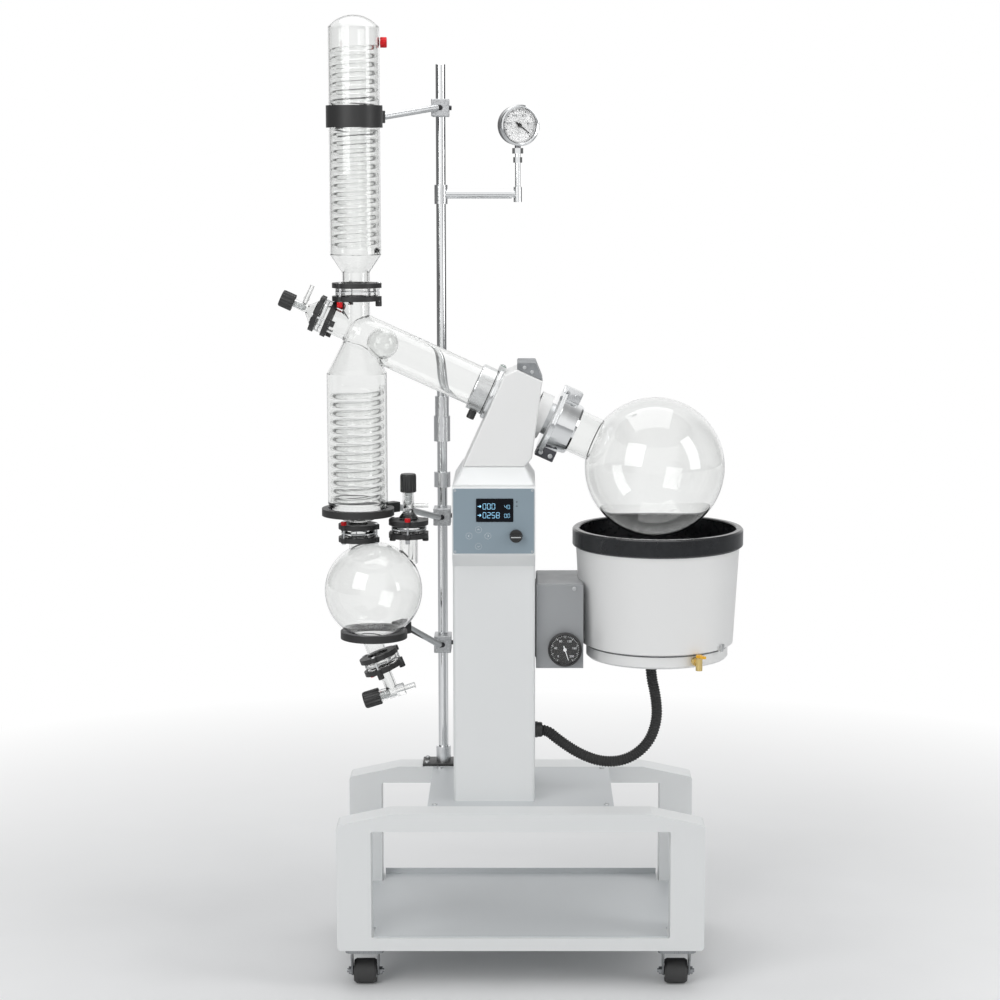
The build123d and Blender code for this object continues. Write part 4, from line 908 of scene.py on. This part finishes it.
class PanelOperator(bpy.types.Operator):
    """Make the display's digits, the touch keys, the indicator marks and the knob's pointer"""

    bl_idname = "evaporator.panel"
    bl_label = "Control panel"

    def execute(self, context):
        dress("cart_paint", "column", "control_housing")
        dress("panel_film", "control_panel")
        dress("display_glass", "display_window")
        dress("black_plastic", "control_knob")

        bm = bmesh.new()
        glass_y = PANEL_Y - 0.00105
        rows = ((0.94, "000", "40"), (0.923, "0258", "00"))
        for height, large, small in rows:
            for index, value in enumerate(large):
                x = COLUMN_X - 0.0175 + index * 0.0085
                digit(bm, seat((x, glass_y, height), FRONT), 0.0056, 0.0105, value)
            for index, value in enumerate(small):
                x = COLUMN_X + 0.0225 + index * 0.0062
                digit(bm, seat((x, glass_y, height - 0.001), FRONT), 0.0038, 0.0072, value)
            arrow = Vector((COLUMN_X - 0.0275, glass_y, height))
            block(bm, seat(arrow, FRONT), (0.006, 0.0012, 0.0003))
            for lift, lean in ((0.0012, -0.7), (-0.0012, 0.7)):
                barb = seat(arrow + Vector((0.0022, 0.0, lift)), FRONT)
                block(bm, barb @ Matrix.Rotation(lean, 4, "Z"), (0.0034, 0.0011, 0.0003))
        piece("display_digits", bm, "display_light", "base", "display_black", smooth=False)

        bm = bmesh.new()
        keys = (
            (-0.0635, 0.895, 0.0),
            (-0.0635, 0.863, math.pi),
            (-0.0455, 0.883, -math.pi / 2),
            (-0.0815, 0.883, math.pi / 2),
        )
        for x, z, turn in keys:
            place = seat((x, PANEL_Y - 0.00005, z), FRONT) @ Matrix.Rotation(turn, 4, "Z")
            flat_ring(bm, place, 0.0058, 0.0061, 0.0, 0.0002, 32)
            for lean in (-0.8, 0.8):
                stroke = Matrix.Rotation(lean, 4, "Z") @ Matrix.Translation((0.0, -0.0012, 0.0001))
                block(bm, place @ Matrix.Translation((0.0, 0.0016, 0.0)) @ stroke, (0.0008, 0.0032, 0.0003))
        piece("panel_marks", bm, "white_print", "base", "panel_blue_grey", smooth=False)

        bm = bmesh.new()
        for z in (0.9485, 0.9405):
            block(bm, seat((0.0095, PANEL_Y - 0.0001, z), FRONT), (0.003, 0.0016, 0.0003), 0.0001)
        piece("indicator_marks", bm, "black_plastic", "base", "panel_blue_grey", smooth=False)

        place = seat((0.008, -0.1713, 0.883), FRONT)
        single("dial_pointer", "white_print", "panel_knob", "black_plastic", block, place,
               (0.0188, 0.0014, 0.0006), 0.0002)

        corners = product((COLUMN_X - 0.0735, COLUMN_X + 0.0735), (0.8525, 0.9705))
        screws("panel_screws", [seat((x, -0.1501, z), FRONT) for x, z in corners], 0.0022, 0.0016)
        return {"FINISHED"}


class HeadOperator(bpy.types.Operator):
    """Finish the drive head, its end cover, the duct coupling and the drive inside"""

    bl_idname = "evaporator.head"
    bl_label = "Drive head"

    def execute(self, context):
        dress("white_paint", "head_housing", "head_back_cover")
        dress("cover_plastic", "head_cover")
        dress("steel", "spindle", "spindle_bearings")
        dress("dark_rubber", "shaft_seal")
        dress("gear_brass", "drive_gear", "motor_pinion")
        dress("motor_paint", "drive_motor")
        dress("coupling_satin", "duct_coupling")
        spots = ((0.0245, 1.1965), (0.039, 1.188))
        screws("head_screws", [seat((x, -0.0582, z), FRONT) for x, z in spots], 0.0036, 0.0016)

        bm = bmesh.new()
        wide = [(0.0505, 0.0), (0.0525, 0.0005), (0.0532, 0.0035), (0.0525, 0.007), (0.0505, 0.0078)]
        narrow = [(0.044, 0.0), (0.0462, 0.0), (0.0468, 0.001), (0.0462, 0.0022), (0.044, 0.0026)]
        for along, profile in ((0.3455, wide), (0.3845, narrow)):
            lathe_closed(bm, seat(on_axis(along), OUT), profile, 72)
        piece("coupling_bands", bm, "chrome")

        single("coupling_groove", "dark_rubber", "base", "black_rubber", flat_ring, seat(on_axis(0.356), OUT),
               0.0464, 0.0472, 0.0, 0.0016)
        tab = seat(on_axis(0.352, 0.0573), UP, BACK)
        single("coupling_tab", "tab_paint", "base", "grey_plastic", block, tab, (0.017, 0.012, 0.002), 0.0006)
        screws("coupling_tab_screw", [seat(on_axis(0.352, 0.0582), UP)], 0.0034, 0.0022)
        return {"FINISHED"}


class ClampOperator(bpy.types.Operator):
    """Finish the chrome clamp that holds the rotating flask"""

    bl_idname = "evaporator.flask_clamp"
    bl_label = "Flask clamp"

    def execute(self, context):
        dress("chrome", "flask_clamp")
        bm = bmesh.new()
        profile = [(0.0645, 0.0), (0.0665, 0.0006), (0.0665, 0.0026), (0.0645, 0.0032)]
        for start in (0.215, 0.2195):
            lathe_closed(bm, seat(on_axis(start), OUT), profile, 72)
        piece("clamp_rings", bm, "chrome", "rotor")

        # Painted shade and painted light: both blocks are the clamp's chrome; the block below the axis gets a
        # dark copy as if in shade, the block above a bright copy as if lit
        blocks = (("clamp_block_low", -1, "clamp_dark"), ("clamp_block_high", 1, "clamp_bright"))
        for name, side, finish in blocks:
            place = seat(on_axis(0.207, 0.0625 * side), UP * side, BACK)
            single(name, finish, "rotor", "chrome", block, place, (0.035, 0.0386, 0.023), 0.002)

        spots = product((-0.064, 0.064), (0.197, 0.217))
        places = [seat(on_axis(along, up, -0.0175), FRONT) for up, along in spots]
        screws("clamp_screws", places, 0.0046, 0.003, "rotor")
        return {"FINISHED"}


class PoleOperator(bpy.types.Operator):
    """Finish the pole with its foot, collars, boss heads, band clamp and support rings"""

    bl_idname = "evaporator.pole"
    bl_label = "Pole and clamps"

    def execute(self, context):
        dress("chrome", "pole", "gauge_pipework")
        dress("satin_chrome", "pole_fittings")
        dress("blasted_aluminium", "boss_heads")
        dress("black_paint", "band_clamp", "support_ring_upper", "support_ring_lower")

        corners = product((-0.034, 0.034), (-0.021, 0.021))
        places = [seat(POLE + Vector((x, y, 0.358)), UPWARD) for x, y in corners]
        screws("foot_screws", places, 0.0045, 0.004)

        bm = bmesh.new()
        boss_face = 0.1445
        # Middle and reach of each clamp, then the height of its rod's front end and of its boss
        rods = (
            (STACK_X, 0.0685, 1.675, 1.695),
            (STACK_X, 0.099, 0.908, 0.874),
            (RECEIVER_X, 0.096, 0.662, 0.61),
        )
        for centre_x, reach, low, high in rods:
            end = Vector((POLE.x - 0.006, boss_face, high))
            flat = Vector((end.x - centre_x, end.y, 0.0)).normalized()
            start = Vector((centre_x, 0.0, low)) + flat * reach
            run = end - start
            profile = [(0.0, 0.0), (0.0062, 0.0), (0.0064, 0.001), (0.0064, run.length), (0.0, run.length)]
            turned(bm, seat(start, run), profile, 32)
        piece("clamp_rods", bm, "steel")

        place = seat(POLE + Vector((0.0, 0.0, 0.3555)), UPWARD)
        single("foot_plate_coat", "black_paint", "base", None, block, place, (0.085, 0.059, 0.006), 0.0012)

        bm = bmesh.new()
        for z in (1.695, 0.874, 0.61):
            cap_screw(bm, seat(POLE + Vector((0.0, -0.0354, z)), FRONT), 0.0052, 0.003)
            cap_screw(bm, seat(POLE + Vector((0.0174, -0.01, z)), RIGHT), 0.0046, 0.005)
        piece("boss_screws", bm, "screw_black", "base", "steel")

        bm = bmesh.new()
        flat_ring(bm, seat((STACK_X, 0.0, 0.908), UPWARD), 0.0588, 0.0612, -0.0068, 0.0074)
        sloped = [(0.0535, 0.006), (0.061, 0.006), (0.061, 0.0074), (0.054, 0.0074)]
        lathe_closed(bm, seat((RECEIVER_X, 0.0, 0.662), UPWARD), sloped, 72)
        piece("ring_liners", bm, "liner_rubber", "base", "black_rubber")
        return {"FINISHED"}


def dial_marks(bm, centre, facing, radius, count, first_deg, sweep_deg, lift):
    """Tick marks of a round scale, every fifth one long."""
    side = UPWARD.cross(facing * -1).normalized()
    for step in range(count + 1):
        angle = math.radians(first_deg - sweep_deg * step / count)
        major = step % 5 == 0
        length = radius * (0.16 if major else 0.09)
        way = side * math.cos(angle) + UPWARD * math.sin(angle)
        spot = centre + way * (radius - length / 2) + facing * lift
        place = seat(spot, facing, way)
        block(bm, place, (length, radius * (0.035 if major else 0.018), 0.0002))


def dial_numerals(bm, centre, facing, side, radius, lift, texts):
    """Numerals around a round scale, 54 degrees apart."""
    for index, numeral in enumerate(texts):
        angle = math.radians(225 - 54 * index)
        way = side * math.cos(angle) + UPWARD * math.sin(angle)
        spot = centre + way * radius + facing * lift
        lettering(bm, numeral, seat(spot, facing, side))


class GaugeOperator(bpy.types.Operator):
    """Make the vacuum gauge's face, numerals, bezel and lens"""

    bl_idname = "evaporator.gauge"
    bl_label = "Vacuum gauge"

    def execute(self, context):
        dress("gauge_case", "vacuum_gauge")
        dress("black_paint", "gauge_needle")
        face = [(0.0022, 0.0004), (0.035, 0.0004), (0.0353, 0.0)]
        single("gauge_face", "dial_white", "base", "white_paint", turned, self.level(0.0091), face, 64)
        side = UPWARD.cross(GAUGE_FACING * -1).normalized()
        numerals = ("0.1", "0.08", "0.06", "0.04", "0.02", "0")
        bm = bmesh.new()
        dial_marks(bm, GAUGE, GAUGE_FACING, 0.0325, 50, 225, 270, 0.0097)
        dial_numerals(bm, GAUGE, GAUGE_FACING, side, 0.0215, 0.0096, numerals)
        piece("gauge_scale", bm, "print_grey", "base", "black_paint", smooth=False)
        bezel = [(0.035, -0.002), (0.0352, 0.0016), (0.0375, 0.003), (0.04, 0.0022), (0.041, 0.0),
                 (0.041, -0.007), (0.0403, -0.0075), (0.0403, -0.002)]
        single("gauge_bezel", "chrome", "base", None, lathe_closed, self.level(0.0158), bezel, 72)
        single("gauge_lens", "lens_glass", "base", "clear_glass", disc, self.level(0.015), 0.0351, 0.0016)
        hub = [(0.0, 0.0014), (0.003, 0.0013), (0.004, 0.0)]
        single("needle_hub", "black_plastic", "pressure_needle", "black_paint", turned, self.level(0.0112),
               hub, 24)
        return {"FINISHED"}

    def level(self, lift):
        """A placing matrix on the gauge's axis, in front of its middle."""
        return seat(GAUGE + GAUGE_FACING * lift, GAUGE_FACING)


class BathOperator(bpy.types.Operator):
    """Finish the heating bath with its rim, jacket, carriage, tap, latch and thermometer"""

    bl_idname = "evaporator.bath"
    bl_label = "Heating bath"

    def execute(self, context):
        dress("white_paint", "bath_shell")
        dress("rim_black", "bath_rim")
        dress("pot_coating", "bath_pot")
        dress("carriage_paint", "bath_carriage")
        dress("tap_brass", "bath_tap")
        dress("tap_yellow", "bath_tap_lever")
        dress("black_plastic", "bath_thermometer")
        dress("white_print", "thermometer_needle")

        bm = bmesh.new()
        flat_ring(bm, seat((BATH_X, 0.0, 0.8425), UPWARD), 0.16, 0.1618, 0.0, -0.0024, 128)
        low_seam = [(0.1395, 0.0), (0.1408, 0.0004), (0.1408, -0.0024), (0.1395, -0.0028)]
        lathe_closed(bm, seat((BATH_X, 0.0, 0.646), UPWARD), low_seam, 128)
        piece("bath_seams", bm, "seam_grey", "bath", "black_rubber")

        bm = bmesh.new()
        angle = math.radians(-37.5)
        way = Vector((math.cos(angle), math.sin(angle), 0.0))
        spot = Vector((BATH_X, 0.0, 0.654)) + way * 0.1508
        block(bm, seat(spot, way), (0.02, 0.011, 0.004), 0.0012)
        block(bm, seat(spot + way * 0.0022 - UPWARD * 0.001, way), (0.008, 0.015, 0.003), 0.001)
        piece("bath_latch", bm, "steel", "bath")

        place = seat((0.121, -0.0899, 0.7695), FRONT)
        screws("carriage_screws", [place], sizes().screw_radius, 0.0022, "bath")

        bm = bmesh.new()
        dial_marks(bm, THERMOMETER, FRONT, 0.0278, 40, 235, 290, 0.0103)
        numerals = ("0", "40", "80", "120", "160", "200")
        dial_numerals(bm, THERMOMETER, FRONT, RIGHT, 0.0185, 0.0102, numerals)
        piece("thermometer_scale", bm, "white_print", "bath", "white_paint", smooth=False)
        place = seat(THERMOMETER + FRONT * 0.0128, FRONT)
        single("thermometer_lens", "lens_glass", "bath", "clear_glass", disc, place, 0.0292, 0.001)
        return {"FINISHED"}


class CartOperator(bpy.types.Operator):
    """Finish the cart: frames, deck, shelf, screws and casters"""

    bl_idname = "evaporator.cart"
    bl_label = "Cart and casters"

    def execute(self, context):
        dress("cart_paint", "front_frame", "back_frame")
        dress("shelf_paint", "deck_plate", "storage_shelf")
        forks = [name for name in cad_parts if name.startswith("caster_fork")]
        wheels = [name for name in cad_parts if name.startswith("caster_wheel")]
        dress("fork_steel", *forks)
        dress("wheel_plastic", *wheels)

        corners = product((-0.15, 0.184), (-0.138, 0.138))
        screws("deck_screws", [seat((x, y, 0.3519), UPWARD) for x, y in corners], 0.005, 0.0026)

        cap_profile = [(0.0095, 0.0026), (0.0118, 0.003), (0.015, 0.0022), (0.0166, 0.0004)]
        for node in wheels:
            side = node.replace("caster_wheel_", "")
            low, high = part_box(node)
            centre = (low + high) / 2
            bm = bmesh.new()
            for way, reach in ((RIGHT, high.x), (RIGHT * -1, low.x)):
                spot = Vector((reach, centre.y, centre.z)) - way * 0.0044
                turned(bm, seat(spot, way), cap_profile, 36)
            piece("hub_cap_" + side, bm, "steel", "wheel_" + side)
        return {"FINISHED"}


class EvaporatorSidebar(bpy.types.Panel):
    """Lists the steps that dress the evaporator"""

    bl_idname = "VIEW3D_PT_evaporator"
    bl_label = "Rotary evaporator"
    bl_space_type = "VIEW_3D"
    bl_region_type = "UI"
    bl_category = "Evaporator"

    def draw(self, context):
        for group in (colours(), sizes()):
            for name in group.bl_rna.properties.keys():
                if name not in ("rna_type", "name"):
                    self.layout.prop(group, name)
        for step in STEPS:
            self.layout.operator(step.bl_idname)


STEPS = (StageOperator, ConduitOperator, CoilOperator, GlassOperator, JointOperator, ValveOperator,
         PanelOperator, HeadOperator, ClampOperator, PoleOperator, GaugeOperator, BathOperator, CartOperator)
CLASSES = (EvaporatorColours, EvaporatorSizes, *STEPS, EvaporatorSidebar)


def register():
    """Register the classes and the groups of settings."""
    for item in CLASSES:
        bpy.utils.register_class(item)
    bpy.types.Scene.evaporator_colours = PointerProperty(type=EvaporatorColours)
    bpy.types.Scene.evaporator_sizes = PointerProperty(type=EvaporatorSizes)


def unregister():
    """Take the settings and the classes away again."""
    del bpy.types.Scene.evaporator_sizes
    del bpy.types.Scene.evaporator_colours
    for item in reversed(CLASSES):
        bpy.utils.unregister_class(item)


def main():
    """Run every step in order."""
    register()
    for step in STEPS:
        getattr(bpy.ops.evaporator, step.bl_idname.split(".")[1])()


if __name__ == "__main__":
    main()
